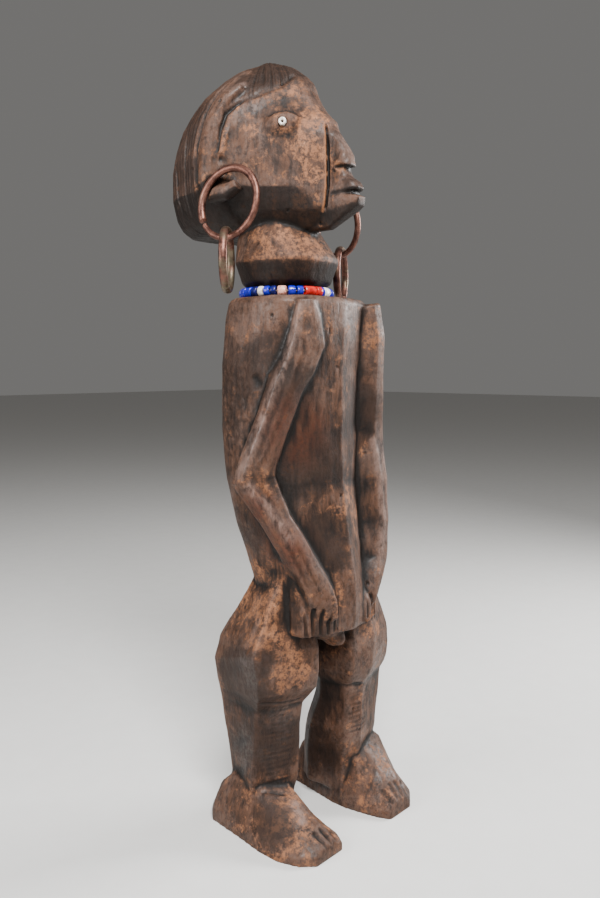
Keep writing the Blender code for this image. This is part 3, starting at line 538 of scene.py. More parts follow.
hair = in_hair(skin.co)
hairy = np.flatnonzero(hair > 0)
strands = skin.co[hairy]
angle = np.arctan2(strands[:, 0], strands[:, 1] - CROWN_BACK)
drift = wander(strands * np.array([1.0, 1.0, 0.35]), 0.05) * 0.55
fine = 0.5 + 0.5 * np.cos((angle + drift * 0.14) * HAIR_CUTS + drift * 5)
broad = 0.5 + 0.5 * np.cos((angle - drift * 0.10) * HAIR_CUTS * BROAD_CUTS + drift * 6)
pressure = np.clip(0.55 + 0.9 * wander(strands * np.array([1, 1, 0.30]), 0.13, 3.0), 0.05, 1.3)
values = np.zeros(len(skin.co))
cuts = FINE_SHARE * fine ** 3 + BROAD_SHARE * broad ** 6
values[hairy] = -HAIR_DEPTH * hair[hairy] * cuts * pressure
field(skin, values)
skin.write()
print("points in the hair", len(hairy))

# %% [markdown]
# ## Arms and hands
# Each arm is a low bar with a narrow bevel along its outer edge, where the light catches. The
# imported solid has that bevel, so it only needs crisper borders. The fingers are short parallel
# cuts across the belly's edge, so a row with an even step between them is enough.

# %% Arms and hands
RIGHT_BEVEL = [(-27.6, -17.2, 262.4), (-29.5, -15.4, 247.7), (-32.5, -12.7, 233.9),
               (-36.8, -8.1, 219.3), (-40.1, -4.2, 204.3), (-43.2, -0.2, 192.7), (-45, 4, 184.5)]
RIGHT_FRONT_EDGE = [(-27.4, -20.2, 260.9), (-28.8, -19.6, 242.6), (-32.2, -16.4, 226.4),
                    (-37, -10.7, 207.9), (-40.6, -6.3, 193.8), (-43.5, -2.5, 184.3)]
RIGHT_FOREARM_CREST = [(-44, -1.6, 178.6), (-37.5, -8.4, 167.5), (-31.9, -16, 153.3),
                       (-27.9, -21.9, 139.1), (-23.6, -26.4, 124.5)]
LEFT_CREST = [(28, -20, 197.1), (32.7, -21.3, 175.8), (33.1, -23.2, 154.8), (28.3, -25, 137.2)]
HIP_TOP = [(-29.4, -1.7, 131), (-29.3, -5.6, 134.2), (-28.7, -8.4, 137)]
FIRST_FINGER = 13.3
FINGER_STEP = 3.65
FINGER_TOP, FINGER_TIP = 119.0, 103.0
FINGERS = [[(-x, -35.6 + 0.45 * x, z) for z in (FINGER_TOP, FINGER_TIP)]
           for x in (FIRST_FINGER + FINGER_STEP * i for i in range(5))]

stroke(skin, RIGHT_FRONT_EDGE, 2.2, 0.45)
burnish(skin, HIP_TOP, 9.0, 240)
stroke(skin, RIGHT_FOREARM_CREST, 2.4, 0.55)
stroke(skin, LEFT_CREST, 2.6, 0.5)
for finger in FINGERS:
    for path in both_sides(finger):
        stroke(skin, path, 1.2, -1.3, ends=0, squash=(1.0, 0.4, 1.0))
skin.write()
print("finger cuts", 2 * len(FINGERS))

# %% [markdown]
# ## Legs and feet
# The shins were cut with short strokes across the grain, one under the other, and their marks
# were left. A line of shadow parts the knee from the shin, and another parts shin and foot.
# The strokes have random lengths, depths and steps from a fixed seed, so each run is the same.

# %% Legs and feet
random.seed(41)
RIGHT_SHIN = {"top": 67.0, "bottom": 26.0, "inner": (-15.5, -6.0), "outer": (-36.0, 0.8)}
LEFT_SHIN = {"top": 66.0, "bottom": 41.0, "inner": (12.0, -16.5), "outer": (28.5, -16.8)}
LITTLE_TOE = [(-35.4, -28.5, 10.5), (-35.4, -31, 8.5), (-35.2, -33.5, 6)]
UNDER_KNEES = [[(-41.5, -3.7, 72), (-32.1, -6.1, 69.7), (-23.1, -8.4, 68.6),
                (-16.2, -11.6, 69.5)],
               [(9.7, -14, 68.8), (14, -18.4, 69.8), (25.3, -18.2, 66.8)]]
OVER_FEET = [[(-38.3, 4, 23.2), (-34, -1.6, 23.4), (-25.1, -8.5, 22)]]
SHIN_HALF_WIDTH = (1.0, 1.5)
SHIN_DEPTH = (0.22, 0.50)
SHIN_STEP = (1.7, 3.0)
for shin in (RIGHT_SHIN, LEFT_SHIN):
    height = shin["top"]
    while height > shin["bottom"]:
        (x1, y1), (x2, y2) = shin["inner"], shin["outer"]
        first, last = random.uniform(-0.1, 0.3), random.uniform(0.7, 1.1)
        lean = random.uniform(-0.6, 0.6)
        path = [(x1 + (x2 - x1) * first, y1 + (y2 - y1) * first, height + lean),
                (x1 + (x2 - x1) * last, y1 + (y2 - y1) * last, height - lean)]
        stroke(skin, path, random.uniform(*SHIN_HALF_WIDTH), -random.uniform(*SHIN_DEPTH),
               ends=0.3, squash=(0.35, 0.35, 1.0))
        height -= random.uniform(*SHIN_STEP)
burnish(skin, LITTLE_TOE, 5.5, 200)
for path in UNDER_KNEES + OVER_FEET:
    stroke(skin, path, 1.8, -0.8)
skin.write()
print("lowest left shin stroke above", round(height, 1), "mm")

# %% [markdown]
# ## Tool marks and grain
# An adze leaves shallow hollows that meet in soft ridges. A cell pattern gives exactly that:
# deep at each cell's middle and high along the borders. Slow noise under it makes the faces
# slightly uneven, and a noise drawn out along the block makes the open grain. On the right
# side of the body the grain curls round an old knot, and there the surface is rougher.

# %% Tool marks and grain
ADZE_CELL = 0.105
ADZE_DEPTH = 0.26
GRAIN_DEPTH = 0.11
KNOT = np.array([-36.3, 1.1, 227.2])
CURLY_MIDDLE = np.array([-38.0, 14.0, 212.0])
CURLY_REACH = np.array([20.0, 24.0, 34.0])
CURLY_DEPTH = 0.34
UNEVEN_DEPTHS = (0.34, 0.15)


def adze_cells(points):
    """How far each point is from the middle of its tool mark, from 0 to about 1."""
    stretched = points * np.array([1.0, 1.0, 0.55]) * ADZE_CELL
    return np.array([noise.voronoi(Vector(p))[0][0] for p in stretched])


cells = np.clip(adze_cells(skin.co) * 1.3, 0, 1)
uneven = (wander(skin.co, 0.045, 7.0) * UNEVEN_DEPTHS[0]
          + wander(skin.co, 0.12, 11.0) * UNEVEN_DEPTHS[1])
grain = wander(skin.co * np.array([1.0, 1.0, 0.12]), 0.9, 5.0)
curly = np.clip(1.3 - np.linalg.norm((skin.co - CURLY_MIDDLE) / CURLY_REACH, axis=1), 0, 1)
curls = np.abs(wander(skin.co * np.array([1.0, 1.0, 0.8]), 0.30, 21.0)) * 2 - 0.6
above_sole = soft_step(skin.co[:, 2], 0.3, 2.0)
face_calm = 1 - 0.55 * soft_step(skin.co[:, 2], 300, 312) * (1 - in_hair(skin.co))
field(skin, (uneven * face_calm - ADZE_DEPTH * face_calm * (1 - cells ** 2) + GRAIN_DEPTH * grain
             + CURLY_DEPTH * curly * curls) * above_sole)
skin.write()
print("uneven by", np.ptp(uneven).round(2), "mm")

# %% [markdown]
# ## Cracks and worm holes
# Old wood splits along its grain, and beetles leave small round holes. A crack is a narrow
# stroke with thin ends. A hole is a stroke that is hardly longer than a point.

# %% Cracks and worm holes
CRACKS = [[(-34, 30, 205), (-33, 31, 190), (-33.5, 30, 172)],
          [(8, 43, 255), (9.5, 43.5, 225), (8.5, 43, 196), (9, 41, 170)],
          [(-33, 62, 345), (-34.5, 60, 330), (-34, 58, 312)],
          [(20, 60, 368), (26, 62, 352), (29, 64, 338)],
          [(-8.9, -20.9, 254), (-8.6, -20.9, 250)],
          [(-6.4, -21.4, 236), (-2.3, -21.4, 234.5)],
          [(-40, 20, 158.5), (-36, 10, 157), (-33, 4, 156)]]
WORM_HOLES = 40
for path in CRACKS:
    stroke(skin, path, 0.9, -0.9, ends=0.3)
stroke(skin, [KNOT, KNOT + np.array([0.0, 1.0, 2.0])], 4.0, -1.3, ends=0)
picked = np.random.default_rng(17).choice(len(skin.co), WORM_HOLES * 3, replace=False)
holes = [i for i in picked if skin.co[i, 2] > 30][:WORM_HOLES]
for i in holes:
    middle = skin.co[i].copy()
    stroke(skin, [middle, middle + np.array([0.0, 0.0, 0.6])], 1.1, -0.8, ends=0)
skin.write()
print("cracks", len(CRACKS), "worm holes", len(holes))

# %% [markdown]
# ## Thinning the skin
# The cuts are made now, so flat places can do with larger faces. Decimate takes away the
# points that change the shape least, so the hair and the edges of the cuts stay dense.

# %% Thinning
WOOD_TRIANGLES = 190000


def triangle_count(mesh):
    """How many triangles a mesh has once its faces are split."""
    return sum(len(p.vertices) - 2 for p in mesh.polygons)


def thinned(mesh, target):
    """Fewer triangles, where they are missed least."""
    obj = bpy.data.objects.new("to thin", mesh)
    show(obj)
    thin = obj.modifiers.new("thin", "DECIMATE")
    thin.ratio = min(1.0, target / triangle_count(mesh))
    return worked_in(obj)


print("before", triangle_count(wood_mesh))
wood_mesh = thinned(wood_mesh, WOOD_TRIANGLES)
print("wood triangles", triangle_count(wood_mesh))

# %% [markdown]
# ## Where the wood is worn and where shade is painted
# Hands polish what stands proud, and the hollows get painted shade. Comparing each point with the
# average of its neighbours tells the two apart. Short feelers sent out from each point tell how
# closed in it is, as under the jaw or between arm and body, where the colour gets painted shade.
# The results are kept on the mesh, and the finish reads them.

# %% Wear and painted shade
FEELER_LENGTH = 15.0
FEELER_RINGS = ((0.45, 0.9, 3), (0.85, 0.53, 6))
FEELERS = [(math.cos(a) * r, math.sin(a) * r, z) for r, z, count in FEELER_RINGS
           for a in np.arange(count) * math.tau / count]
FINE_LIMIT = 0.06
BROAD_PROUD, BROAD_HOLLOW = 0.5, 0.45
print("feelers", len(FEELERS))


def paint(mesh, name, values):
    """Keep a number at each point of a mesh."""
    layer = mesh.attributes.new(name, "FLOAT", "POINT")
    layer.data.foreach_set("value", values.astype(np.float32))


# %% Measuring the wear
skin = Skin(wood_mesh)
edges, degree = edge_table(wood_mesh)
near = mean_of_neighbours(skin.co, edges, degree, 4)
far = mean_of_neighbours(near, edges, degree, 40)
fine_relief = ((skin.co - near) * skin.no).sum(axis=1)
broad_relief = ((near - far) * skin.no).sum(axis=1)
fine_relief = mean_of_neighbours(fine_relief[:, None], edges, degree, 1)[:, 0]
paint(wood_mesh, "proud",
      np.clip(broad_relief / BROAD_PROUD + fine_relief / FINE_LIMIT, -2, 2) * 0.25 + 0.5)
# hollow: how deep each point lies in a recess, used for painted shade
paint(wood_mesh, "hollow", np.clip(-fine_relief / FINE_LIMIT, 0, 1) * 0.55
      + np.clip(-broad_relief / BROAD_HOLLOW, 0, 1) * 0.6)
print("proud", np.percentile(broad_relief, [5, 50, 95]).round(3),
      "fine", np.percentile(fine_relief, [5, 50, 95]).round(3))

# %% Measuring how closed in each point is
solid = BVHTree.FromPolygons([tuple(c) for c in skin.co],
                             [tuple(p.vertices) for p in wood_mesh.polygons])
feelers = [Vector(np.array(d) / np.linalg.norm(d)) for d in FEELERS]
closed_in = np.zeros(len(skin.co))
for i, (point, normal) in enumerate(zip(skin.co, skin.no)):
    normal = Vector(normal)
    turn = normal.to_track_quat("Z", "Y")
    start = Vector(point) + normal * 0.4
    closed_in[i] = sum(solid.ray_cast(start, turn @ way, FEELER_LENGTH)[0] is not None
                       for way in feelers)
closed_in = mean_of_neighbours(closed_in[:, None] / len(feelers), edges, degree, 3)[:, 0]
# How closed in a point is sets the painted shade in the finish
paint(wood_mesh, "closed in", closed_in)
print("closed in", np.percentile(closed_in, [50, 90, 98]).round(2))

# %% [markdown]
# ## Zones of colour
# A worn figure isn't one colour. Red-brown dust was rubbed into the brow, the neck and the
# hips. The right side and the shins are painted nearly black as shade, faces turned from the light
# get red-brown painted shade, and the edges that hands held shine, with a painted highlight and
# gloss.
# Each zone is a soft ball on the grid, with its middle, radius and share, and the shine follows
# paths. Noise in the finish breaks up their borders.

# %% Zones
OCHRE_ZONES = [
    (-15, 0, 366, 13, 1.0), (-9, -8, 352, 10, 0.8), (-8, -13, 332, 13, 0.75),
    (-17, -3, 343, 9, 0.9), (-24, 0, 330, 18, 0.35), (-30, 12, 355, 9, 0.5),
    (-4, -22, 331, 4, 1.0), (-37, 36, 322, 8, 0.7), (-10, 0, 296, 24, 0.85),
    (0, 20, 268, 40, 0.3), (-28, -18, 258, 8, 0.5), (-12, -21, 250, 8, 0.6),
    (22, -22, 250, 10, 0.7), (-40, -2, 180, 10, 0.55), (-33, 4, 120, 26, 0.85),
    (-34, -10, 104, 12, 0.8), (-28, -14, 88, 13, 1.0), (4, -20, 165, 18, 0.55),
    (-12, -29, 122, 10, 0.6), (20, -18, 105, 14, 0.6), (-24, -12, 22, 10, 0.9),
    (-30, -14, 2, 30, 0.55), (26, -22, 20, 22, 0.5), (0, -16, 98, 10, 0.5),
    (-38, 30, 330, 16, 0.35),
]
# Painted shade: soft balls, painted nearly black, where the faces lie in shade
DARK_SHADE_ZONES = [
    (-28, -13, 114, 9, 1.0), (-42, 16, 76, 16, 1.0), (-11, -19, 195, 14, 0.8),
    (-11, -21, 155, 12, 0.9), (-40, 14, 225, 44, 0.55), (-38, 18, 160, 24, 0.35),
    (-44, 4, 84, 20, 0.85), (-26, 0, 46, 18, 1.0), (-40, 12, 45, 20, 0.6),
    (-14, -20, 190, 26, 0.7), (-8, -24, 150, 16, 0.75), (20, -14, 215, 16, 1.0),
    (-18, -22, 110, 9, 0.75), (0, 10, 278, 22, 0.9), (-15, 12, 376, 22, 0.65),
    (-34, 50, 345, 26, 0.45), (-40, -10, 12, 18, 0.4), (10, 6, 30, 16, 0.8), (12, 2, 60, 18, 0.8),
    (-4, -30, 322, 9, 0.5), (-2, -20, 344, 8, 0.6),
]
# Red-brown painted shade on faces turned from the light, on the arms and the neck
RED_SHADE_ZONES = [
    (-26, -16, 205, 20, 0.9), (-38, 0, 168, 12, 1.0), (-32, -12, 148, 16, 0.9),
    (-6, 4, 282, 16, 0.6),
]
# Paths of the painted highlight along held edges; the same paths also give the gloss
SHINE_PATHS = [
    RIGHT_BEVEL, RIGHT_FOREARM_CREST[:3], LEFT_CREST, BAND_MIDDLE,
    [(-36, 0, 112), (-40, 0, 98)],
    [(-26, -14, 19), (-30, -22, 15)],
    [(20, -20, 30), (24, -27, 19)],
    [(31, -19, 205), (36, -19, 180), (36, -21, 158), (31, -23, 140)],
    [(0, -21, 344), (0, -25.5, 338)],
]
SHINE_REACH = 4.6
print("zones", len(OCHRE_ZONES), len(DARK_SHADE_ZONES), len(RED_SHADE_ZONES), "paths", len(SHINE_PATHS))

# %% Painting the zones
JAW_HEIGHTS = (290, 300)
COLLAR_HEIGHTS = (270, 274)
BELOW_EARS = 330


def zone(points, balls):
    """How far each point is inside any of several soft balls."""
    most = np.zeros(len(points))
    for *middle, radius, share in balls:
        gap = np.linalg.norm(points - np.array(middle, dtype=float), axis=1)
        most = np.maximum(most, share * np.clip(1.5 * (1 - gap / radius) + 0.25, 0, 1))
    return most


paint(wood_mesh, "ochre", zone(skin.co, OCHRE_ZONES))
paint(wood_mesh, "dark", zone(skin.co, DARK_SHADE_ZONES))
paint(wood_mesh, "red", zone(skin.co, RED_SHADE_ZONES))
shine = np.zeros(len(skin.co))
for path in SHINE_PATHS:
    shine = np.maximum(shine, np.clip(1.2 - near_path(skin.co, path)[0] / SHINE_REACH, 0, 1))
paint(wood_mesh, "shine", shine)
# The cut in the cheek is painted black as shade, with an ochre edge on the cheek side
slit_gap = np.minimum(*(near_path(skin.co, path)[0] for path in both_sides(CHEEK_SLIT)))
paint(wood_mesh, "slit", soft_step(-slit_gap, -0.85, -0.40))
slit_edge = soft_step(-slit_gap, -2.0, -1.1) * (1 - soft_step(-slit_gap, -0.9, -0.6))
paint(wood_mesh, "slit edge", slit_edge * (np.abs(skin.co[:, 0]) > 5.1))
paint(wood_mesh, "hair", in_hair(skin.co))
# Painted shadow on the faces that look down under the jaw and the collar ridge
height = skin.co[:, 2]
under_jaw = soft_step(-skin.no[:, 2], 0.05, 0.32) * soft_step(height, *JAW_HEIGHTS)
under_ridge = soft_step(-skin.no[:, 2], 0.0, 0.35) * soft_step(height, *COLLAR_HEIGHTS)
paint(wood_mesh, "under", np.clip(under_jaw + under_ridge, 0, 1) * (height < BELOW_EARS))
print("layers on the mesh", len(wood_mesh.attributes))

# %% [markdown]
# ## Carved wood
# Old dark hardwood shows several layers at once: painted shade, nearly black, in the cuts and
# hollows, brown wood, grey wear with a painted sheen where hands rubbed it, painted highlights on
# held edges, and ochre dust in patches. Each layer is one colour, put in by its own mask. Fine
# grain runs up the block, because it was carved from a standing log.

# %% Tones of the wood
# Nearly black: the dark grain lines, and painted shade in hollows, cuts and under the jaw
DARK_GRAIN_AND_PAINTED_SHADE = (0.004, 0.002, 0.0012, 1)
DARK_BROWN = (0.016, 0.008, 0.005, 1)
RED_BROWN = (0.060, 0.014, 0.004, 1)
MID_BROWN = (0.072, 0.032, 0.017, 1)
GREY_WEAR_AND_PAINTED_SHEEN = (0.108, 0.064, 0.048, 1)
PAINTED_HIGHLIGHT = (0.190, 0.124, 0.102, 1)
OCHRE = (0.255, 0.105, 0.046, 1)
PALE_DUST = (0.400, 0.205, 0.115, 1)

# %% Noises of the wood
wood, tree, shader = new_material("old carved wood")


def layer(under, share, strength, tone):
    """Lay a tone over a colour, by a share and a strength."""
    return blend(tree, times(tree, share, strength, True), under, tone)


straight = places(tree)
along_grain = places(tree, (1.0, 1.0, 0.42))
grain_lines = speckle(tree, along_grain, 1100.0, 5.0, 0.6, 0.4)
broad_grain = speckle(tree, along_grain, 260.0, 7.0, 0.72, 0.5)
clouds = speckle(tree, straight, 30.0, 6.0, 0.62)
patches = speckle(tree, straight, 120.0, 8.0, 0.72, 0.3)
crumbs = speckle(tree, straight, 460.0, 6.0, 0.72)
flecks = speckle(tree, straight, 1600.0, 3.0, 0.6)
proud = painted(tree, "proud")
ochre_zone = painted(tree, "ochre")
dark_shade_zone = painted(tree, "dark")
print("noises and masks", len(tree.nodes))

# %% Bare wood, grey wear with painted sheen, and dust
colour = blend(tree, ramp(tree, broad_grain, 0.38, 0.60), DARK_BROWN, MID_BROWN)
# Grey in cloud patches and on proud edges: worn wood, with a painted sheen
colour = layer(colour, ramp(tree, clouds, 0.46, 0.64), 0.45, GREY_WEAR_AND_PAINTED_SHEEN)
rubbed_wear_and_sheen = times(tree, ramp(tree, proud, 0.58, 0.90), ramp(tree, crumbs, 0.36, 0.62))
colour = layer(colour, rubbed_wear_and_sheen, 0.50, GREY_WEAR_AND_PAINTED_SHEEN)
dust_here = maths(tree, "ADD", times(tree, ochre_zone, 0.18), patches)
dust = times(tree, ramp(tree, dust_here, 0.55, 0.66), ramp(tree, crumbs, 0.40, 0.58))
colour = layer(colour, dust, 0.80, OCHRE)
pale_here = maths(tree, "ADD", times(tree, ochre_zone, 0.12), patches)
pale = times(tree, ramp(tree, pale_here, 0.66, 0.78), ramp(tree, flecks, 0.42, 0.62))
colour = layer(colour, pale, 0.60, PALE_DUST)
print("nodes so far", len(tree.nodes))

# %% Dark patches, painted shade, painted highlights and cuts
# Painted shade in the shade zones, with random dark patches from the noise
dark_patches_and_shade = maths(tree, "ADD", times(tree, dark_shade_zone, 0.30),
                  speckle(tree, straight, 40.0, 6.0, 0.66, 0.8))
colour = layer(colour, ramp(tree, dark_patches_and_shade, 0.54, 0.72), 0.80, DARK_BROWN)
# Red-brown painted shade on faces turned from the light
red_here = times(tree, ramp(tree, crumbs, 0.30, 0.60), 0.75)
colour = layer(colour, painted(tree, "red"), red_here, RED_BROWN)
colour = layer(colour, painted(tree, "hair"), 0.45, DARK_BROWN)
# Painted highlight along the shine paths
highlight_strength = times(tree, ramp(tree, broad_grain, 0.34, 0.62), 0.60)
colour = layer(colour, ramp(tree, painted(tree, "shine"), 0.30, 1.0), highlight_strength, PAINTED_HIGHLIGHT)
# Painted shade in the hollows, and painted shadow under the jaw and the collar ridge
for mask, strength in (("hollow", 0.90), ("under", 0.88)):
    colour = layer(colour, painted(tree, mask), strength, DARK_GRAIN_AND_PAINTED_SHADE)
# Painted shade where the skin is closed in, as under the jaw and between arm and body
colour = layer(colour, ramp(tree, painted(tree, "closed in"), 0.18, 0.75), 0.85, DARK_GRAIN_AND_PAINTED_SHADE)
colour = layer(colour, painted(tree, "slit edge"), 0.80, OCHRE)
# Painted shade inside the cheek cut
colour = layer(colour, painted(tree, "slit"), 1.0, DARK_GRAIN_AND_PAINTED_SHADE)
colour = layer(colour, ramp(tree, grain_lines, 0.58, 0.70), 0.50, DARK_GRAIN_AND_PAINTED_SHADE)
tree.links.new(colour, shader.inputs["Base Color"])
print("nodes so far", len(tree.nodes))

# %% [markdown]
# ## Gloss and fine relief of the wood
# Rubbed edges shine, because hands leave a thin skin of grease and wax on them. Dusty wood is
# dull. So the gloss follows the polish and is taken away where the dust lies. A coat gives the
# soft streak of light on an edge without making the dark wood under it look grey.

# %% Gloss and fine relief
gloss = maths(tree, "ADD", times(tree, painted(tree, "shine"), 0.55),
              times(tree, ramp(tree, clouds, 0.40, 0.65), 0.35))
gloss = maths(tree, "SUBTRACT", gloss, times(tree, dust, 0.6), True)
gloss = times(tree, gloss, ramp(tree, crumbs, 0.34, 0.60))
tree.links.new(between(tree, gloss, 0.62, 0.40), shader.inputs["Roughness"])
shader.inputs["Specular IOR Level"].default_value = 0.22
tree.links.new(times(tree, gloss, 0.75, True), shader.inputs["Coat Weight"])
shader.inputs["Coat Roughness"].default_value = 0.32
relief = maths(tree, "ADD", times(tree, grain_lines, 0.6),
               times(tree, crumbs, 0.5))
bumps(tree, shader, relief, 0.0006, 0.6)
print("wood finish", len(tree.nodes), "nodes")

# %% [markdown]
# ## The figure in its place
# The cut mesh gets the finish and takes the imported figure's place. Nothing on it moves, so it
# rides on the root.

# %% The figure in its place
figure = bpy.data.objects.new("carved_wood", wood_mesh)
show(figure)
wood_mesh.shade_smooth()
wood_mesh.materials.clear()
wood_mesh.materials.append(wood)
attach(figure, "root")
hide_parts("carved_figure")
print(figure.name, triangle_count(wood_mesh), "triangles")

# %% [markdown]
# ## Measuring a ring
# Each ear ring is a rod of copper, bent until its ends nearly meet; one end is drawn out
# thinner. A second, flatter ring hangs on it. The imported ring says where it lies: its plane,
# its middle and its two thicknesses are measured from its points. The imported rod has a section
# every few degrees, and the gap, which is narrower, is the smallest of those steps.

# %% Measuring a packed ring
SAME_SECTION = math.radians(0.8)
THICK_END, THIN_END = (0.02, 0.15), (0.85, 0.98)


def ring_frame(name):
    """Place of a packed ring: matrix with its axis along Z and its thick end at X."""
    points = np.array([v.co[:] for v in merged_copy(name).vertices])
    middle = points.mean(axis=0)
    _, _, ways = np.linalg.svd(points - middle)
    first, second, axis = ways
    flat_points = np.stack([(points - middle) @ first, (points - middle) @ second], axis=1)
    sums = np.column_stack([2 * flat_points, np.ones(len(points))])
    fit, *_ = np.linalg.lstsq(sums, (flat_points ** 2).sum(axis=1), rcond=None)
    middle = middle + fit[0] * first + fit[1] * second
    off = flat_points - fit[:2]
    turn = np.arctan2(off[:, 1], off[:, 0])
    order = np.argsort(turn)
    steps = np.diff(np.append(turn[order], turn[order[0]] + 2 * np.pi))
    joint = min((i for i in range(len(steps)) if steps[i] > SAME_SECTION),
                key=lambda i: steps[i])
    start = turn[order[(joint + 1) % len(order)]]
    gap = steps[joint]
    radii = np.linalg.norm(off, axis=1)
    share = ((turn - start) % (2 * np.pi)) / (2 * np.pi - gap)
    thick = [np.ptp(radii[(share > low) & (share < high)]) for low, high in (THICK_END, THIN_END)]
    if thick[0] < thick[1]:
        axis, second = -axis, -second
        start, thick = -(start - gap), thick[::-1]
    across = (points - middle) @ axis
    way_x = first * math.cos(start) + second * math.sin(start)
    way_y = np.cross(axis, way_x)
    if np.dot(np.cross(first, second), axis) < 0:
        way_y = -way_y
    ways = np.column_stack([way_x, way_y, np.cross(way_x, way_y)])
    matrix = Matrix([[*row, m] for row, m in zip(ways, middle)] + [[0, 0, 0, 1]])
    return matrix, {"radius": (radii.max() + radii.min()) / 2, "gap": gap, "thick": thick,
                    "width": np.ptp(across)}


for name in (node for node in nodes if node.endswith("ring")):
    matrix, size = ring_frame(name)
    print(name, [round(v, 4) for v in matrix.translation],
          {k: np.round(v, 4).tolist() for k, v in size.items()})

# %% [markdown]
# ## Old copper
# Copper turns brown in the air, gets bright where it rubs and goes green where it stays damp.
# One finish made of noises does for both kinds of ring, with more green on the hanging ones.

# %% Metal finishes
COPPER_DARK = (0.060, 0.026, 0.020, 1)
COPPER_BROWN = (0.170, 0.075, 0.054, 1)
COPPER_WORN = (0.340, 0.165, 0.120, 1)
VERDIGRIS = (0.105, 0.110, 0.070, 1)


def old_metal(name, green_from, green_to):
    """Worn copper whose brown skin turns grey-green in places."""
    material, tree, shader = new_material(name)
    spots = speckle(tree, places(tree), 260.0, 6.0, 0.65, 0.5)
    clouds = speckle(tree, places(tree), 70.0, 5.0, 0.6)
    tone = blend(tree, ramp(tree, spots, 0.34, 0.64), COPPER_DARK, COPPER_BROWN)
    worn = times(tree, ramp(tree, clouds, 0.50, 0.68), 0.6)
    tone = blend(tree, worn, tone, COPPER_WORN)
    green = times(tree, ramp(tree, clouds, green_from, green_to), 0.75)
    tone = blend(tree, green, tone, VERDIGRIS)
    tree.links.new(tone, shader.inputs["Base Color"])
    shader.inputs["Metallic"].default_value = 0.85
    tree.links.new(between(tree, spots, 0.30, 0.58), shader.inputs["Roughness"])
    bumps(tree, shader, spots, 0.0003, 0.5)
    return material


copper = old_metal("worn copper", 0.58, 0.80)
green_copper = old_metal("copper with green patina", 0.44, 0.62)
copper_materials = {"copper": copper, "brass": green_copper}
print("metals", [m.name for m in copper_materials.values()])

# %% [markdown]
# ## Bent rings
# The smith hammers a rod round, tapers one end and bends it. A curve with a bevel could do
# that. Here a section is spun most of the way round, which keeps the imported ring's circle.
# Then the ends are closed and rounded, and a slow noise puts in the hammer's flats.

# %% Putting a piece in its place


def finished(name, bm, material, node):
    """Make an object of a bmesh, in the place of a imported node."""
    bmesh.ops.recalc_face_normals(bm, faces=bm.faces)
    mesh = bpy.data.meshes.new(name)
    bm.to_mesh(mesh)
    bm.free()
    mesh.shade_smooth()
    mesh.materials.append(material)
    obj = bpy.data.objects.new(name, mesh)
    show(obj)
    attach(obj, "root")
    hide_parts(node)


# %% Bent rings


def spun_rod(bm, half, radius, sides, steps, gap=0.0, flatness=1.0):
    """A section of a rod, spun round into a ring; without a gap the ring is closed."""
    section = bmesh.ops.create_circle(bm, segments=sides, radius=half)["verts"]
    bmesh.ops.scale(bm, verts=section, vec=(1.0, flatness, 1.0))
    bmesh.ops.rotate(bm, verts=section, cent=(0, 0, 0), matrix=Matrix.Rotation(math.pi / 2, 3, "X"))
    bmesh.ops.translate(bm, verts=section, vec=(radius, 0, 0))
    bmesh.ops.spin(bm, geom=section + bm.edges[:], cent=(0, 0, 0), axis=(0, 0, 1),
                   angle=2 * math.pi - gap, steps=steps, use_merge=gap == 0)


RING_STEPS = 150
RING_SIDES = 20
HAMMER_DEPTH = 0.035
HAMMER_SCALE = 420.0
ROUNDED_END = 0.4 * MM


def bent_ring(node, slot):
    """A rod bent round into a ring that is open by a small gap."""
    matrix, size = ring_frame(node)
    half_thick, half_thin = size["thick"][0] / 2, size["thick"][1] / 2
    flatness = size["width"] / 2 / half_thick
    bm = bmesh.new()
    spun_rod(bm, half_thick, size["radius"], RING_SIDES, RING_STEPS, size["gap"], flatness)
    ends = [e for e in bm.edges if e.is_boundary]
    bmesh.ops.holes_fill(bm, edges=ends, sides=RING_SIDES)
    for v in bm.verts:
        turn = math.atan2(v.co.y, v.co.x) % (2 * math.pi)
        share = min(turn / (2 * math.pi - size["gap"]), 1.0)
        core = Vector((math.cos(turn), math.sin(turn), 0.0)) * size["radius"]
        taper = 1 + (half_thin / half_thick - 1) * share ** 2
        dent = 1 - HAMMER_DEPTH * (1 + noise.noise(v.co * HAMMER_SCALE))
        v.co = core + (v.co - core) * taper * dent
    bmesh.ops.bevel(bm, geom=ends, offset=ROUNDED_END, segments=2, affect="EDGES")
    bmesh.ops.transform(bm, matrix=matrix, verts=bm.verts)
    finished(node.replace("_ring", "_metal_ring"), bm, copper_materials[slot], node)


for side in ("right", "left"):
    bent_ring(f"{side}_ear_ring", "copper")
    bent_ring(f"{side}_hanging_ring", "brass")
print("ring sides", RING_SIDES, "steps", RING_STEPS)

# %% [markdown]
# ## Glass
# Old trade beads are opaque glass with faint streaks from the drawn tube and grime in the
# scratches. So each colour runs between two close tones, under spots of dull grime.

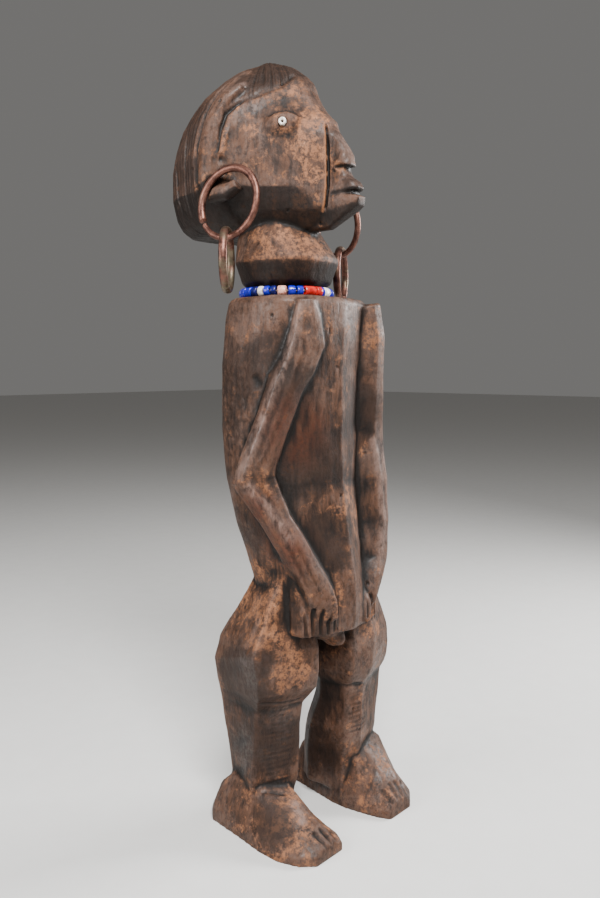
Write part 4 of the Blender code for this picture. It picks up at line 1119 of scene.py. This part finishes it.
# %% Glass finishes
GLASS_TONES = {
    "blue_glass": ((0.005, 0.006, 0.220, 1), (0.010, 0.012, 0.420, 1)),
    "navy_glass": ((0.003, 0.004, 0.022, 1), (0.008, 0.010, 0.120, 1)),
    "white_glass": ((0.560, 0.480, 0.400, 1), (0.860, 0.800, 0.740, 1)),
    "pink_glass": ((0.420, 0.130, 0.085, 1), (0.780, 0.420, 0.330, 1)),
    "red_glass": ((0.260, 0.008, 0.006, 1), (0.560, 0.016, 0.012, 1)),
}
GRIME = (0.050, 0.028, 0.018, 1)
glass = {}
for slot, (shade, light) in GLASS_TONES.items():
    glass[slot], tree, shader = new_material(slot.replace("_", " "))
    streaks = speckle(tree, places(tree), 700.0, 4.0, 0.6, 1.0)
    tone = blend(tree, ramp(tree, streaks, 0.35, 0.60), shade, light)
    dirt = ramp(tree, speckle(tree, places(tree), 1400.0, 5.0, 0.7), 0.60, 0.74)
    tone = blend(tree, times(tree, dirt, 0.6), tone, GRIME)
    tree.links.new(tone, shader.inputs["Base Color"])
    tree.links.new(between(tree, dirt, 0.14, 0.60), shader.inputs["Roughness"])
    bumps(tree, shader, streaks, 0.0001, 0.25)
print("glass", list(glass))

# %% [markdown]
# ## Turned beads
# The beads were drawn out as a tube, cut and then melted until the cut edges were round. No
# two are quite alike. Each one is turned: its half section, with rounded corners, is spun all
# the way round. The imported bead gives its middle, and its axis lies along the thread.

# %% Turned beads
BEAD_STEPS = 32
ROUNDING = {"red_glass": 0.30, "blue_glass": 0.42, "navy_glass": 0.45, "pink_glass": 0.50,
            "white_glass": 0.50}
EYE_BEAD_SLACK = 0.08


def bead_frame(node, axis=None):
    """Place, length, outer and inner radius of a packed bead, from its own points."""
    points = np.array([v.co[:] for v in merged_copy(node).vertices])
    middle = points.mean(axis=0)
    if axis is None:
        _, _, ways = np.linalg.svd(points - middle)
        axis = ways[2]
    axis = np.array(axis) / np.linalg.norm(axis)
    along = (points - middle) @ axis
    out = np.linalg.norm(points - middle - along[:, None] * axis, axis=1)
    return Vector(middle), Vector(axis), np.ptp(along), out.max(), out.min()


print("eye bead", [round(v / MM, 2) for v in bead_frame("right_eye_bead")[2:]], "mm")


def turned_bead(name, node, slot, axis=None, slack=0.0):
    """A ring of glass with rounded edges, spun about its own axis."""
    middle, axis, length, outer, inner = bead_frame(node, axis)
    corner = ROUNDING[slot] * min(length, outer - inner)
    bm = bmesh.new()
    half = length / 2
    corners = [bm.verts.new((x, 0, z))
               for x, z in ((inner, -half), (outer, -half), (outer, half), (inner, half))]
    bm.faces.new(corners)
    bmesh.ops.bevel(bm, geom=corners, offset=corner * 0.98, segments=5, profile=0.5,
                    affect="VERTICES")
    bmesh.ops.delete(bm, geom=bm.faces[:], context="FACES_ONLY")
    bmesh.ops.spin(bm, geom=bm.verts[:] + bm.edges[:], cent=(0, 0, 0), axis=(0, 0, 1),
                   angle=2 * math.pi, steps=BEAD_STEPS, use_merge=True)
    bmesh.ops.remove_doubles(bm, verts=bm.verts, dist=1e-6)
    for v in bm.verts:
        swell = 1 - 0.03 * (1 + noise.noise(v.co * 500.0 + middle * 900.0)) - slack
        v.co.x *= swell
        v.co.y *= swell
    turn = axis.to_track_quat("Z", "Y").to_matrix().to_4x4()
    bmesh.ops.transform(bm, matrix=Matrix.Translation(middle) @ turn, verts=bm.verts)
    finished(name, bm, glass[slot], node)


# %% The necklace and the eyes
slots = {part["node"]: part["material_slot"] for part in frame["record"]["subparts"]}
necklace = sorted(node for node in nodes if node.startswith("necklace_bead"))
for node in necklace:
    low, high = (Vector(c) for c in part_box(node))
    spoke = (low + high) / 2 - neck_middle
    turned_bead(node.replace("necklace_bead", "glass_bead"), node, slots[node],
                (-spoke.y, spoke.x, 0.0))
for node in ("right_eye_bead", "left_eye_bead"):
    turned_bead(node.replace("_bead", "_ring_bead"), node, slots[node], slack=EYE_BEAD_SLACK)
print("beads", len(necklace))

# %% [markdown]
# ## Thread
# The beads hang on a closed loop of waxed thread that fits the neck. A small circle is spun
# all the way round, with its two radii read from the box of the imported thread.

# %% Thread
THREAD_BROWN = (0.070, 0.045, 0.028, 1)
THREAD_PALE = (0.200, 0.140, 0.095, 1)
THREAD_SIDES, THREAD_STEPS = 10, 160
thread_cord, tree, shader = new_material("waxed thread")
fibres = speckle(tree, places(tree), 2200.0, 4.0, 0.6, 0.8)
tree.links.new(blend(tree, ramp(tree, fibres, 0.35, 0.65), THREAD_BROWN, THREAD_PALE),
               shader.inputs["Base Color"])
shader.inputs["Roughness"].default_value = 0.7
bumps(tree, shader, fibres, 0.0002, 0.6)

thread_half = (thread_high.z - thread_low.z) / 2
thread_radius = (thread_high.x - thread_low.x) / 2 - thread_half
bm = bmesh.new()
spun_rod(bm, thread_half, thread_radius, THREAD_SIDES, THREAD_STEPS)
bmesh.ops.remove_doubles(bm, verts=bm.verts, dist=1e-6)
bmesh.ops.translate(bm, verts=bm.verts, vec=neck_middle)
finished("waxed_thread", bm, thread_cord, "necklace_thread")
print("thread length", round(2 * math.pi * thread_radius / MM, 1), "mm")
